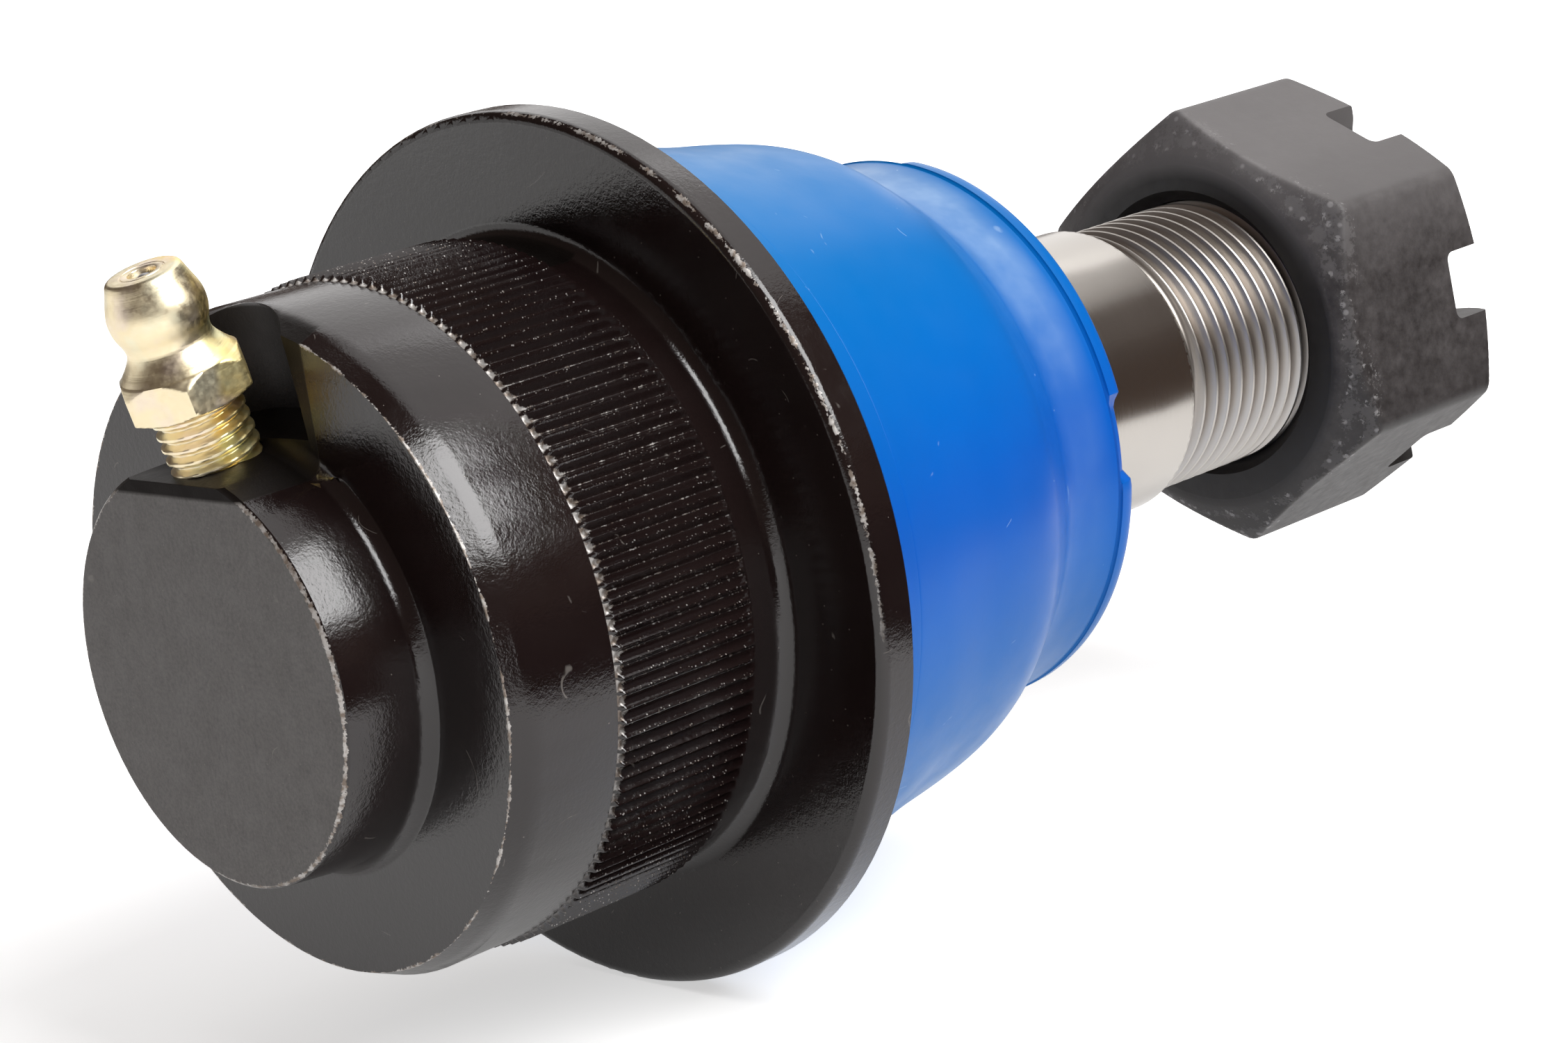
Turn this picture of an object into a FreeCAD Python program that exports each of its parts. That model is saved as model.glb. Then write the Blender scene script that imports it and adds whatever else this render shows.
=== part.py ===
"""Suspension ball joint, pressed into its arm by a serrated band under a flange.

The stud's axis is +X, running from the closed boss towards the nut. The origin is the
centre of the boss face, and +Z is the side of the grease nipple. Millimetres.
"""
import FreeCAD, Part
import math
import os
import re
import Sketcher

# Driving dimensions: name, size, meaning. The stack runs along +X from the boss face: floor,
# spring, plate, seat and ball, and the retaining ring and the flange follow from the ball.
SIZES = [
    ("boss_radius", 14.7, "radius of the boss on the closed end"),
    ("boss_height", 6.8, "height of the shoulder above the boss face"),
    ("boss_fillet", 1.2, "fillet between boss and shoulder"),
    ("boss_edge", 0.3, "broken edge round the boss face"),
    ("shoulder_inset", 0.9, "how far the shoulder's edge lies inside the pilot band"),
    ("shoulder_slope", 2.2, "length of the slope from shoulder to pilot band"),
    ("housing_wall", 5.2, "wall between the cavity and the pilot band"),
    ("band_rise", 0.4, "how far the press band stands above the pilot band"),
    ("band_length", 13.0, "length of the press band"),
    ("relief_length", 3.0, "length of the relief groove under the flange"),
    ("relief_depth", 1.0, "depth of the relief groove below the press band"),
    ("relief_fillet", 1.3, "fillet between relief groove and flange"),
    ("flange_width", 8.1, "how far the flange stands above the press band"),
    ("flange_thickness", 3.4, "thickness of the flange"),
    ("flange_round", 0.8, "rounded front edge of the flange"),
    ("flange_bevel", 0.5, "bevel on the back edge of the flange"),
    ("floor_thickness", 7.0, "wall between boss face and cavity"),
    ("well_radius", 10.0, "radius of the well for the preload spring"),
    ("well_depth", 4.5, "depth of the well"),
    ("cone_length", 7.0, "length of the cone between well and cavity"),
    ("sump_radius", 4.0, "radius of the grease sump in the floor"),
    ("sump_depth", 1.6, "depth of the grease sump"),
    ("ring_step", 1.6, "how far the ring's seat is wider than the cavity"),
    ("ring_thickness", 1.8, "thickness of the retaining ring"),
    ("ring_cover", 0.9, "how far the ring reaches in over the ball"),
    ("ring_bevel", 0.5, "bevel round the ring's opening"),
    ("ring_rise", 5.9, "height of the retaining ring above the ball's centre"),
    ("stake_height", 1.0, "height of the staked rim above the ring"),
    ("stake_overhang", 1.6, "how far the staked rim covers the ring"),
    ("ball_radius", 14.5, "radius of the ball"),
    ("ball_flat", 0.6, "depth of the flat on the ball's closed side"),
    ("running_gap", 0.05, "radial clearance of a running fit"),
    ("fit_gap", 0.02, "radial clearance of a piece fitted into the housing"),
    ("seat_gap", 0.3, "clearance beside a soft or curved neighbour"),
    ("spring_height", 1.3, "height of the preload spring"),
    ("spring_wall", 0.8, "thickness of the preload spring"),
    ("spring_inset", 0.5, "how far the preload spring lies inside the well's wall"),
    ("spring_bore", 4.7, "inner radius of the preload spring"),
    ("spring_cut", 0.3, "slant of the preload spring's edges"),
    ("plate_thickness", 0.8, "thickness of the spring plate"),
    ("plate_bore", 3.0, "radius of the hole in the spring plate"),
    ("seat_floor", 2.3, "thickness of the pressure seat under the ball"),
    ("seat_drop", 1.4, "how far the pressure seat's rim lies below the ball's centre"),
    ("seat_bore", 2.5, "radius of the grease hole in the seat"),
    ("bearing_wall", 4.05, "wall of the bearings beside the ball"),
    ("bearing_drop", 0.8, "how far the upper bearing starts below the ball's centre"),
    ("neck_radius", 8.6, "radius of the stud's neck above the ball"),
    ("neck_length", 13.5, "length from the ball's centre to the end of the neck"),
    ("flare_length", 6.5, "length over which the neck widens to the shank"),
    ("shank_length", 41.1, "length of the tapered shank"),
    ("shank_taper", 0.65, "how much the shank's radius shrinks over its length"),
    ("thread_step", 0.65, "step from the shank's end down to the thread"),
    ("thread_radius", 11.0, "outer radius of the stud's thread"),
    ("thread_length", 28.9, "length from the shank to the stud's end"),
    ("stud_bevel", 1.4, "bevel on the stud's end"),
    ("pin_hole_radius", 2.5, "radius of the split-pin hole"),
    ("pin_hole_inset", 6.0, "distance of the split-pin hole from the stud's end"),
    ("nut_overhang", 4.0, "how far the nut stands past the stud's end"),
    ("nut_height", 19.0, "height of the nut"),
    ("nut_wall", 5.0, "wall of the nut between its thread and its flats"),
    ("nut_face_inset", 1.5, "how far the bearing face's chamfer circle lies inside the flats"),
    ("nut_end_inset", 1.8, "how far the slotted end's chamfer circle lies inside the flats"),
    ("nut_bevel", 2.4, "length of the nut's corner chamfers"),
    ("nut_sink", 1.0, "countersink of the nut's bore"),
    ("pin_clearance", 0.6, "how much wider a slot is than the split-pin hole"),
    ("slot_depth", 5.0, "depth of the nut's slots"),
    ("nut_angle", -4.3, "turn of the nut about the axis, degrees"),
    ("cut_margin", 1.0, "how far a cutting shape reaches past the piece"),
    ("lip_inset", 3.3, "how far the boot's lip lies inside the flange's edge"),
    ("lip_height", 1.5, "height of the boot's lip"),
    ("dome_inset", 1.3, "how far the dome's start lies inside the lip"),
    ("dome_rise", 0.6, "height of the slope from lip to dome"),
    ("dome_middle_inset", 2.8, "how far the dome's middle lies inside the lip"),
    ("dome_end_inset", 3.8, "how far the dome's end lies inside the lip"),
    ("dome_length", 20.0, "length of the dome above the lip"),
    ("boot_length", 34.1, "length of the boot"),
    ("collar_length", 8.0, "length of the boot's neck"),
    ("collar_width", 9.3, "how far the boot's neck stands outside the start of the shank"),
    ("boot_wall", 2.2, "wall of the boot"),
    ("boot_end_wall", 4.0, "thickness of the wall round the stud"),
    ("base_groove", 1.5, "depth of the groove for the base ring in the boot's wall"),
    ("base_ring_wall", 1.8, "section of the steel ring in the boot's base"),
    ("neck_ring_wall", 2.0, "radial section of the ring in the boot's neck"),
    ("neck_ring_height", 2.0, "height of the ring in the boot's neck"),
    ("pocket_chord", 0.25, "how far the pocket's floor lies inside the boss's edge"),
    ("nipple_drop", 3.0, "how far the nipple's foot lies below the shoulder"),
    ("nipple_lean", 13.4, "lean of the nipple towards the boss face, degrees"),
    ("pocket_radius", 7.2, "radius of the milled pocket round the nipple"),
    ("pocket_margin", 4.0, "how far the mill that cuts the pocket reaches past the pilot band"),
    ("nipple_thread", 3.1, "radius of the nipple's thread"),
    ("nipple_depth", 3.5, "length of nipple thread inside the housing"),
    ("drill_rest", 0.5, "depth of the nipple's hole past its thread"),
    ("drill_point", 1.0, "length of the cone at the end of the nipple's hole"),
    ("passage_radius", 1.3, "radius of the grease passage in the housing"),
    ("nipple_stand", 4.2, "length of nipple thread left outside"),
    ("nipple_flats", 8.2, "width of the nipple's hexagon across its flats"),
    ("nipple_hexagon", 2.9, "height of the nipple's hexagon"),
    ("hexagon_inset", 0.05, "how far the chamfer circle of the nipple's hexagon lies inside its flats"),
    ("hexagon_bevel", 0.7, "length of the corner chamfers on the nipple's hexagon"),
    ("nipple_bevel", 0.4, "bevel on the foot of the nipple"),
    ("cone_inset", 0.1, "how far the nipple's cone starts inside the hexagon's flats"),
    ("nipple_cone", 1.5, "height of the cone above the hexagon"),
    ("nipple_waist", 2.95, "radius of the nipple's waist"),
    ("nipple_head", 3.4, "radius of the nipple's head"),
    ("head_rise", 1.8, "length of the slope from the waist to the head's land"),
    ("nipple_land", 1.0, "length of the straight land on the head"),
    ("head_taper", 2.1, "length of the slope from the land to the head's edge"),
    ("head_edge", 0.2, "height of the bevel round the flat top"),
    ("head_edge_radius", 2.7, "radius at the foot of that bevel"),
    ("nipple_top", 2.55, "radius of the flat top of the head"),
    ("inlet_radius", 0.8, "radius of the narrow bore behind the check spring"),
    ("mouth_depth", 0.5, "depth of the straight mouth in the head"),
    ("mouth_cone", 0.45, "depth of the cone that the check ball closes"),
    ("mouth_cover", 0.15, "how much narrower the mouth is than the check ball"),
    ("check_ball_radius", 1.15, "radius of the check ball"),
    ("check_sink", 0.17, "how far the check ball's top lies below the flat top"),
    ("check_gap", 0.1, "clearance round the check ball and its spring"),
    ("check_wire", 0.15, "radius of the check spring's wire"),
    ("check_turns", 4, "turns of the check spring"),
    ("check_length", 2.5, "length of the check spring"),
]

doc = FreeCAD.newDocument("ball_joint")
sheet = doc.addObject("Spreadsheet::Sheet", "Sizes")
for row, (name, size, meaning) in enumerate(SIZES, 1):
    sheet.set(f"A{row}", meaning)
    sheet.set(f"B{row}", str(size))
    sheet.setAlias(f"B{row}", name)
doc.recompute()
ALIASES = {name for name, size, meaning in SIZES}
AXIS = FreeCAD.Vector(1, 0, 0)
UPWARD = FreeCAD.Vector(0, 0, 1)

# Heights and radii worked out from the driving dimensions, from the boss face towards the nut
SPRING_TOP = "(floor_thickness + spring_height)"
PLATE_TOP = f"({SPRING_TOP} + plate_thickness)"
SEAT_START = f"({PLATE_TOP} + running_gap)"
HOLLOW_RADIUS = "(ball_radius + running_gap)"
BALL_HEIGHT = f"({SEAT_START} + seat_floor + {HOLLOW_RADIUS})"
CAVITY_RADIUS = f"({HOLLOW_RADIUS} + bearing_wall)"
RING_START = f"({BALL_HEIGHT} + ring_rise)"
RING_TOP = f"({RING_START} + ring_thickness)"
RING_RADIUS = f"({CAVITY_RADIUS} + ring_step)"
RING_OPENING = "(ball_radius - ring_cover)"
FLANGE_BACK = f"({RING_TOP} + stake_height)"
FLANGE_SEAT = f"({FLANGE_BACK} - flange_thickness)"
BAND_END = f"({FLANGE_SEAT} - relief_length)"
BAND_START = f"({BAND_END} - band_length)"
PILOT_RADIUS = f"({CAVITY_RADIUS} + housing_wall)"
BAND_RADIUS = f"({PILOT_RADIUS} + band_rise)"
RELIEF_RADIUS = f"({BAND_RADIUS} - relief_depth)"
FLANGE_RADIUS = f"({BAND_RADIUS} + flange_width)"
NECK_END = f"({BALL_HEIGHT} + neck_length)"
SHANK_START = f"({NECK_END} + flare_length)"
SHANK_END = f"({SHANK_START} + shank_length)"
SHANK_END_RADIUS = "(thread_radius + thread_step)"
SHANK_START_RADIUS = f"({SHANK_END_RADIUS} + shank_taper)"
STUD_END = f"({SHANK_END} + thread_length)"
NUT_END = f"({STUD_END} + nut_overhang)"
NUT_START = f"({NUT_END} - nut_height)"
NUT_FLATS = "(2 * (thread_radius + nut_wall))"
NUT_BORE = "(thread_radius + running_gap)"
SLOT_WIDTH = "(2 * pin_hole_radius + pin_clearance)"
LIP_START = f"({FLANGE_BACK} + seat_gap)"
LIP_END = f"({LIP_START} + lip_height)"
LIP_RADIUS = f"({FLANGE_RADIUS} - lip_inset)"
DOME_RADIUS = f"({LIP_RADIUS} - dome_inset)"
DOME_MIDDLE = f"({LIP_RADIUS} - dome_middle_inset)"
DOME_END = f"({LIP_RADIUS} - dome_end_inset)"
DOME_STOP = f"({LIP_END} + dome_length)"
BOOT_END = f"({LIP_START} + boot_length)"
COLLAR_START = f"({BOOT_END} - collar_length)"
COLLAR_RADIUS = f"({SHANK_START_RADIUS} + collar_width)"
BASE_RADIUS = f"({DOME_RADIUS} - boot_wall + base_groove)"

# Places on the nipple, measured outwards along its own axis from the pocket's floor
NIPPLE_HEIGHT = "(boss_height - nipple_drop)"
NIPPLE_RADIUS = "(boss_radius - pocket_chord)"
HEXAGON_TOP = "(nipple_stand + nipple_hexagon)"
WAIST = f"({HEXAGON_TOP} + nipple_cone)"
LAND_START = f"({WAIST} + head_rise)"
LAND_END = f"({LAND_START} + nipple_land)"
HEAD_EDGE = f"({LAND_END} + head_taper)"
NIPPLE_TOP = f"({HEAD_EDGE} + head_edge)"
CHECK_BALL = f"({NIPPLE_TOP} - check_ball_radius - check_sink)"
CHECK_BORE = "(check_ball_radius + check_gap)"
SPRING_LEDGE = f"({CHECK_BALL} - check_ball_radius - check_length - 2 * check_wire - 3 * check_gap)"


def bound(expression):
    """The expression with each alias named as a cell of the sheet."""
    return re.sub(r"[a-z][a-z0-9_]*",
                  lambda word: "Sizes." + word[0] if word[0] in ALIASES else word[0], expression)


def size_of(expression):
    """The number that an expression of aliases stands for."""
    return float(sheet.evalExpression(bound(expression)))


def hollow_at(height):
    """Radius, at a height, of the hollow that the ball runs in."""
    return f"sqrt({HOLLOW_RADIUS} ^ 2 - ({height} - {BALL_HEIGHT}) ^ 2)"


def shank_at(height):
    """Radius of the tapered shank at a height."""
    return f"({SHANK_START_RADIUS} - shank_taper * ({height} - {SHANK_START}) / shank_length)"


def new_body(name, place=None):
    body = doc.addObject("PartDesign::Body", name)
    body.Label = name
    if place:
        body.Placement = place
    return body


def plane_of(body, role):
    return next(f for f in body.Origin.OriginFeatures if f.Role == role)


def loop_sketch(body, name, points, role="XY_Plane", offset=None):
    """A closed sketch. A point is (x, y), or (x, y, centre, radius) where an arc that is
    centred on the sketch's X axis leads to the next point. All are expressions of aliases."""
    sketch = body.newObject("Sketcher::SketchObject", name)
    sketch.AttachmentSupport = [(plane_of(body, role), "")]
    sketch.MapMode = "FlatFace"
    if offset:
        sketch.setExpression("AttachmentOffset.Base.z", bound(offset))
    spots = [FreeCAD.Vector(size_of(p[0]), size_of(p[1]), 0) for p in points]
    first_end = []
    for index, point in enumerate(points):
        here, there = spots[index], spots[(index + 1) % len(points)]
        if len(point) == 2:
            sketch.addGeometry(Part.LineSegment(here, there))
            first_end.append(1)
            continue
        centre = FreeCAD.Vector(size_of(point[2]), 0, 0)
        turns = [math.atan2(spot.y, spot.x - centre.x) for spot in (here, there)]
        circle = Part.Circle(centre, FreeCAD.Vector(0, 0, 1), size_of(point[3]))
        sketch.addGeometry(Part.ArcOfCircle(circle, min(turns), max(turns)))
        first_end.append(1 if turns[0] < turns[1] else 2)
    for index, point in enumerate(points):
        after = (index + 1) % len(points)
        sketch.addConstraint(Sketcher.Constraint(
            "Coincident", index, 3 - first_end[index], after, first_end[after]))
        for kind, axis, number, text in (("DistanceX", -2, spots[index].x, point[0]),
                                         ("DistanceY", -1, spots[index].y, point[1])):
            if text == "0":
                sketch.addConstraint(Sketcher.Constraint(
                    "PointOnObject", index, first_end[index], axis))
                continue
            at = sketch.addConstraint(Sketcher.Constraint(
                kind, -1, 1, index, first_end[index], number))
            sketch.setExpression(f"Constraints[{at}]", bound(text))
        if len(point) == 4:
            at = sketch.addConstraint(Sketcher.Constraint("Radius", index, size_of(point[3])))
            sketch.setExpression(f"Constraints[{at}]", bound(point[3]))
    doc.recompute()
    return sketch


def turned(body, name, points, cut=False):
    """A solid turned about the axis, or a groove cut in the one before it."""
    sketch = loop_sketch(body, name + "_profile", points)
    before = body.Shape.Volume if cut else 0
    feature = body.newObject("PartDesign::Groove" if cut else "PartDesign::Revolution", name)
    feature.Profile = sketch
    feature.ReferenceAxis = (sketch, ["H_Axis"])
    feature.Angle = 360
    doc.recompute()
    if cut and body.Shape.Volume >= before:
        raise ValueError(name + " cuts nothing")
    return feature


def ring_edges(feature, places):
    """Names of the feature's full circles about the axis, at (height, radius) places."""
    found = []
    for number, edge in enumerate(feature.Shape.Edges, 1):
        if not isinstance(edge.Curve, Part.Circle):
            continue
        for height, radius in places:
            if (abs(edge.Curve.Center.x - size_of(height)) < 1e-4
                    and abs(edge.Curve.Radius - size_of(radius)) < 1e-4):
                found.append(f"Edge{number}")
    return found


def rounded(body, name, places, radius):
    """A fillet on the circles of the body's tip at the given places."""
    tip = body.Tip
    feature = body.newObject("PartDesign::Fillet", name)
    feature.Base = (tip, ring_edges(tip, places))
    feature.setExpression("Radius", bound(radius))
    doc.recompute()
    return feature


def hexagon(flats):
    """Corners of a hexagon about the axis, with flats facing along the sketch's X axis."""
    points = []
    for corner in range(6):
        angle = 30 + 60 * corner
        points.append((f"{flats} / sqrt(3) * cos({angle} deg)",
                       f"{flats} / sqrt(3) * sin({angle} deg)"))
    return points


def padded(body, name, points, start, length):
    """A straight pad along +X from a height."""
    sketch = loop_sketch(body, name + "_outline", points, "YZ_Plane", start)
    pad = body.newObject("PartDesign::Pad", name)
    pad.Profile = sketch
    pad.setExpression("Length", bound(length))
    doc.recompute()
    return pad


def nipple_place(along="0"):
    """Placement of a piece of the nipple: its own +X runs outwards along the nipple's axis."""
    lean = math.radians(size_of("nipple_lean"))
    outward = FreeCAD.Vector(-math.sin(lean), 0, math.cos(lean))
    foot = FreeCAD.Vector(size_of(NIPPLE_HEIGHT), 0, size_of(NIPPLE_RADIUS))
    return FreeCAD.Placement(foot + outward * size_of(along), FreeCAD.Rotation(AXIS, outward))


# Housing: forged and turned, then milled for the nipple
def make_housing():
    shell = new_body("housing_turned")
    turned(shell, "housing_form", [
        ("0", "0"),
        ("0", "boss_radius - boss_edge"),
        ("boss_edge", "boss_radius"),
        ("boss_height", "boss_radius"),
        ("boss_height", f"{PILOT_RADIUS} - shoulder_inset"),
        ("boss_height + shoulder_slope", PILOT_RADIUS),
        (BAND_START, PILOT_RADIUS),
        (f"{BAND_START} + band_rise", BAND_RADIUS),
        (f"{BAND_END} - relief_depth", BAND_RADIUS),
        (BAND_END, RELIEF_RADIUS),
        (FLANGE_SEAT, RELIEF_RADIUS),
        (FLANGE_SEAT, FLANGE_RADIUS),
        (f"{FLANGE_BACK} - flange_bevel", FLANGE_RADIUS),
        (FLANGE_BACK, f"{FLANGE_RADIUS} - flange_bevel"),
        (FLANGE_BACK, f"{RING_RADIUS} - stake_overhang"),
        (RING_TOP, f"{RING_RADIUS} - stake_overhang"),
        (RING_TOP, RING_RADIUS),
        (RING_START, RING_RADIUS),
        (RING_START, CAVITY_RADIUS),
        ("floor_thickness + well_depth + cone_length", CAVITY_RADIUS),
        ("floor_thickness + well_depth", "well_radius"),
        ("floor_thickness", "well_radius"),
        ("floor_thickness", "sump_radius"),
        ("floor_thickness - sump_depth", "0"),
    ])
    rounded(shell, "boss_root", [("boss_height", "boss_radius")], "boss_fillet")
    rounded(shell, "flange_root", [(FLANGE_SEAT, RELIEF_RADIUS)], "relief_fillet")
    rounded(shell, "flange_edge", [(FLANGE_SEAT, FLANGE_RADIUS)], "flange_round")
    passage_end = f"-1 * ({NIPPLE_RADIUS} / cos(nipple_lean * 1 deg))"
    mill_end = f"{PILOT_RADIUS} + pocket_margin - {NIPPLE_RADIUS}"
    cutter = new_body("nipple_pocket", nipple_place())
    turned(cutter, "pocket_form", [
        (passage_end, "0"),
        (passage_end, "passage_radius"),
        ("-1 * (nipple_depth + drill_rest + drill_point)", "passage_radius"),
        ("-1 * (nipple_depth + drill_rest)", "nipple_thread + running_gap"),
        ("0", "nipple_thread + running_gap"),
        ("0", "pocket_radius"),
        (mill_end, "pocket_radius"),
        (mill_end, "0"),
    ])
    housing = doc.addObject("Part::Cut", "housing")
    housing.Base = shell
    housing.Tool = cutter
    housing.Label = "housing"
    return housing


# Bearings and preload, stacked from the cavity floor
def make_preload_spring():
    body = new_body("preload_spring")
    outer = "(well_radius - spring_inset)"
    turned(body, "preload_form", [
        ("floor_thickness", f"{outer} - spring_cut"),
        ("floor_thickness + spring_wall", outer),
        (SPRING_TOP, "spring_bore + spring_cut"),
        (f"{SPRING_TOP} - spring_wall", "spring_bore"),
    ])
    return body


def make_spring_plate():
    body = new_body("spring_plate")
    turned(body, "plate_form", [
        (SPRING_TOP, "plate_bore"),
        (SPRING_TOP, "well_radius - seat_gap"),
        (PLATE_TOP, "well_radius - seat_gap"),
        (PLATE_TOP, "plate_bore"),
    ])
    return body


def make_pressure_seat():
    body = new_body("pressure_seat")
    rim = f"({BALL_HEIGHT} - seat_drop)"
    foot_end = "(floor_thickness + well_depth + seat_gap)"
    turned(body, "seat_form", [
        (SEAT_START, "seat_bore"),
        (SEAT_START, "well_radius - seat_gap"),
        (foot_end, "well_radius - seat_gap"),
        (f"{foot_end} + cone_length", f"{CAVITY_RADIUS} - running_gap"),
        (rim, f"{CAVITY_RADIUS} - running_gap"),
        (rim, hollow_at(rim), BALL_HEIGHT, HOLLOW_RADIUS),
        (f"({BALL_HEIGHT} - sqrt({HOLLOW_RADIUS} ^ 2 - seat_bore ^ 2))", "seat_bore"),
    ])
    return body


def make_upper_bearing():
    body = new_body("upper_bearing")
    start = f"({BALL_HEIGHT} - bearing_drop)"
    turned(body, "bearing_form", [
        (start, hollow_at(start)),
        (start, f"{CAVITY_RADIUS} - fit_gap"),
        (RING_START, f"{CAVITY_RADIUS} - fit_gap"),
        (RING_START, hollow_at(RING_START), BALL_HEIGHT, HOLLOW_RADIUS),
    ])
    return body


def make_retaining_ring():
    body = new_body("retaining_ring")
    turned(body, "ring_form", [
        (RING_START, RING_OPENING),
        (RING_START, f"{RING_RADIUS} - fit_gap"),
        (RING_TOP, f"{RING_RADIUS} - fit_gap"),
        (RING_TOP, f"{RING_OPENING} + ring_bevel"),
        (f"{RING_TOP} - ring_bevel", RING_OPENING),
    ])
    return body


# Stud and nut
def make_ball_stud():
    body = new_body("stud_turned")
    ball_start = f"({BALL_HEIGHT} - ball_radius + ball_flat)"
    flat_radius = "sqrt(ball_radius ^ 2 - (ball_radius - ball_flat) ^ 2)"
    neck_start = f"({BALL_HEIGHT} + sqrt(ball_radius ^ 2 - neck_radius ^ 2))"
    turned(body, "stud_form", [
        (ball_start, "0"),
        (ball_start, flat_radius, BALL_HEIGHT, "ball_radius"),
        (neck_start, "neck_radius"),
        (NECK_END, "neck_radius"),
        (SHANK_START, SHANK_START_RADIUS),
        (SHANK_END, SHANK_END_RADIUS),
        (f"{SHANK_END} + thread_step", "thread_radius"),
        (f"{STUD_END} - stud_bevel", "thread_radius"),
        (STUD_END, "thread_radius - stud_bevel"),
        (STUD_END, "0"),
    ])
    hole = doc.addObject("Part::Cylinder", "split_pin_hole")
    hole.setExpression("Radius", bound("pin_hole_radius"))
    hole.setExpression("Height", bound("2 * thread_radius + 2 * cut_margin"))
    hole.setExpression("Placement.Base.x", bound(f"{STUD_END} - pin_hole_inset"))
    hole.setExpression("Placement.Base.y", bound("-1 * thread_radius - cut_margin"))
    hole.Placement.Rotation = FreeCAD.Rotation(UPWARD, FreeCAD.Vector(0, 1, 0))
    stud = doc.addObject("Part::Cut", "drilled_stud")
    stud.Base = body
    stud.Tool = hole
    stud.Label = "ball_stud"
    return stud


def corner_chamfer(body, name, face, inwards, flats, inset, bevel):
    """A cone cut over a hexagon's corners at one face; inwards is 1 or -1 along the axis."""
    circle = f"({flats} / 2 - {inset})"
    corner = f"({flats} / sqrt(3))"
    slope = f"((cut_margin + {corner} - {circle}) * {bevel} / ({corner} - {circle}))"
    turned(body, name, [
        (face, circle),
        (f"{face} - {inwards} * cut_margin", circle),
        (f"{face} - {inwards} * cut_margin", f"{corner} + cut_margin"),
        (f"{face} + {inwards} * {slope}", f"{corner} + cut_margin"),
    ], cut=True)


def make_castle_nut():
    body = new_body("castle_nut")
    padded(body, "nut_block", hexagon(NUT_FLATS), NUT_START, "nut_height")
    corner_chamfer(body, "face_chamfer", NUT_START, 1, NUT_FLATS, "nut_face_inset", "nut_bevel")
    corner_chamfer(body, "end_chamfer", NUT_END, -1, NUT_FLATS, "nut_end_inset", "nut_bevel")
    turned(body, "nut_bore", [
        (f"{NUT_START} - cut_margin", "0"),
        (f"{NUT_START} - cut_margin", f"{NUT_BORE} + nut_sink + cut_margin"),
        (f"{NUT_START} + nut_sink", NUT_BORE),
        (f"{NUT_END} - nut_sink", NUT_BORE),
        (f"{NUT_END} + cut_margin", f"{NUT_BORE} + nut_sink + cut_margin"),
        (f"{NUT_END} + cut_margin", "0"),
    ], cut=True)
    outline = loop_sketch(body, "slot_outline", [
        ("0", f"-1 * {SLOT_WIDTH} / 2"),
        (NUT_FLATS, f"-1 * {SLOT_WIDTH} / 2"),
        (NUT_FLATS, f"{SLOT_WIDTH} / 2"),
        ("0", f"{SLOT_WIDTH} / 2"),
    ], "YZ_Plane", f"{NUT_END} - slot_depth")
    before = body.Shape.Volume
    slot = body.newObject("PartDesign::Pocket", "nut_slot")
    slot.Profile = outline
    slot.Reversed = True
    slot.setExpression("Length", bound("slot_depth + cut_margin"))
    doc.recompute()
    if body.Shape.Volume >= before:
        raise ValueError("the nut's slot cuts nothing")
    slots = body.newObject("PartDesign::PolarPattern", "nut_slots")
    slots.Originals = [slot]
    slots.Axis = (plane_of(body, "X_Axis"), [""])
    slots.Angle = 360
    slots.Occurrences = 6
    body.Tip = slots
    body.Placement.Rotation = FreeCAD.Rotation(AXIS, size_of("nut_angle"))
    return body


# Boot and its two rings
def make_dust_boot():
    body = new_body("dust_boot")
    dome_half = f"({LIP_END} + dome_length / 2)"
    inner_end = f"({BOOT_END} - boot_end_wall)"
    turned(body, "boot_form", [
        (LIP_START, LIP_RADIUS),
        (LIP_END, LIP_RADIUS),
        (f"{LIP_END} + dome_rise", DOME_RADIUS),
        (dome_half, DOME_MIDDLE),
        (DOME_STOP, DOME_END),
        (COLLAR_START, COLLAR_RADIUS),
        (BOOT_END, COLLAR_RADIUS),
        (BOOT_END, f"{shank_at(BOOT_END)} + seat_gap"),
        (inner_end, f"{shank_at(inner_end)} + seat_gap"),
        (inner_end, f"{COLLAR_RADIUS} - boot_wall"),
        (COLLAR_START, f"{COLLAR_RADIUS} - boot_wall"),
        (DOME_STOP, f"{DOME_END} - boot_wall"),
        (dome_half, f"{DOME_MIDDLE} - boot_wall"),
        (LIP_END, BASE_RADIUS),
        (LIP_START, BASE_RADIUS),
    ])
    return body


def make_boot_base_ring():
    body = new_body("boot_base_ring")
    outer = f"({BASE_RADIUS} - seat_gap)"
    turned(body, "base_ring_form", [
        (FLANGE_BACK, f"{outer} - base_ring_wall"),
        (FLANGE_BACK, outer),
        (f"{FLANGE_BACK} + base_ring_wall - seat_gap", outer),
        (f"{FLANGE_BACK} + base_ring_wall - seat_gap", f"{outer} - base_ring_wall"),
    ])
    return body


def make_boot_neck_ring():
    body = new_body("boot_neck_ring")
    top = f"({BOOT_END} - boot_end_wall - seat_gap)"
    foot = f"({top} - neck_ring_height)"
    bore = f"({shank_at(foot)} + running_gap)"
    turned(body, "neck_ring_form", [
        (foot, bore),
        (foot, f"{bore} + neck_ring_wall"),
        (top, f"{bore} + neck_ring_wall"),
        (top, bore),
    ])
    return body


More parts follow.
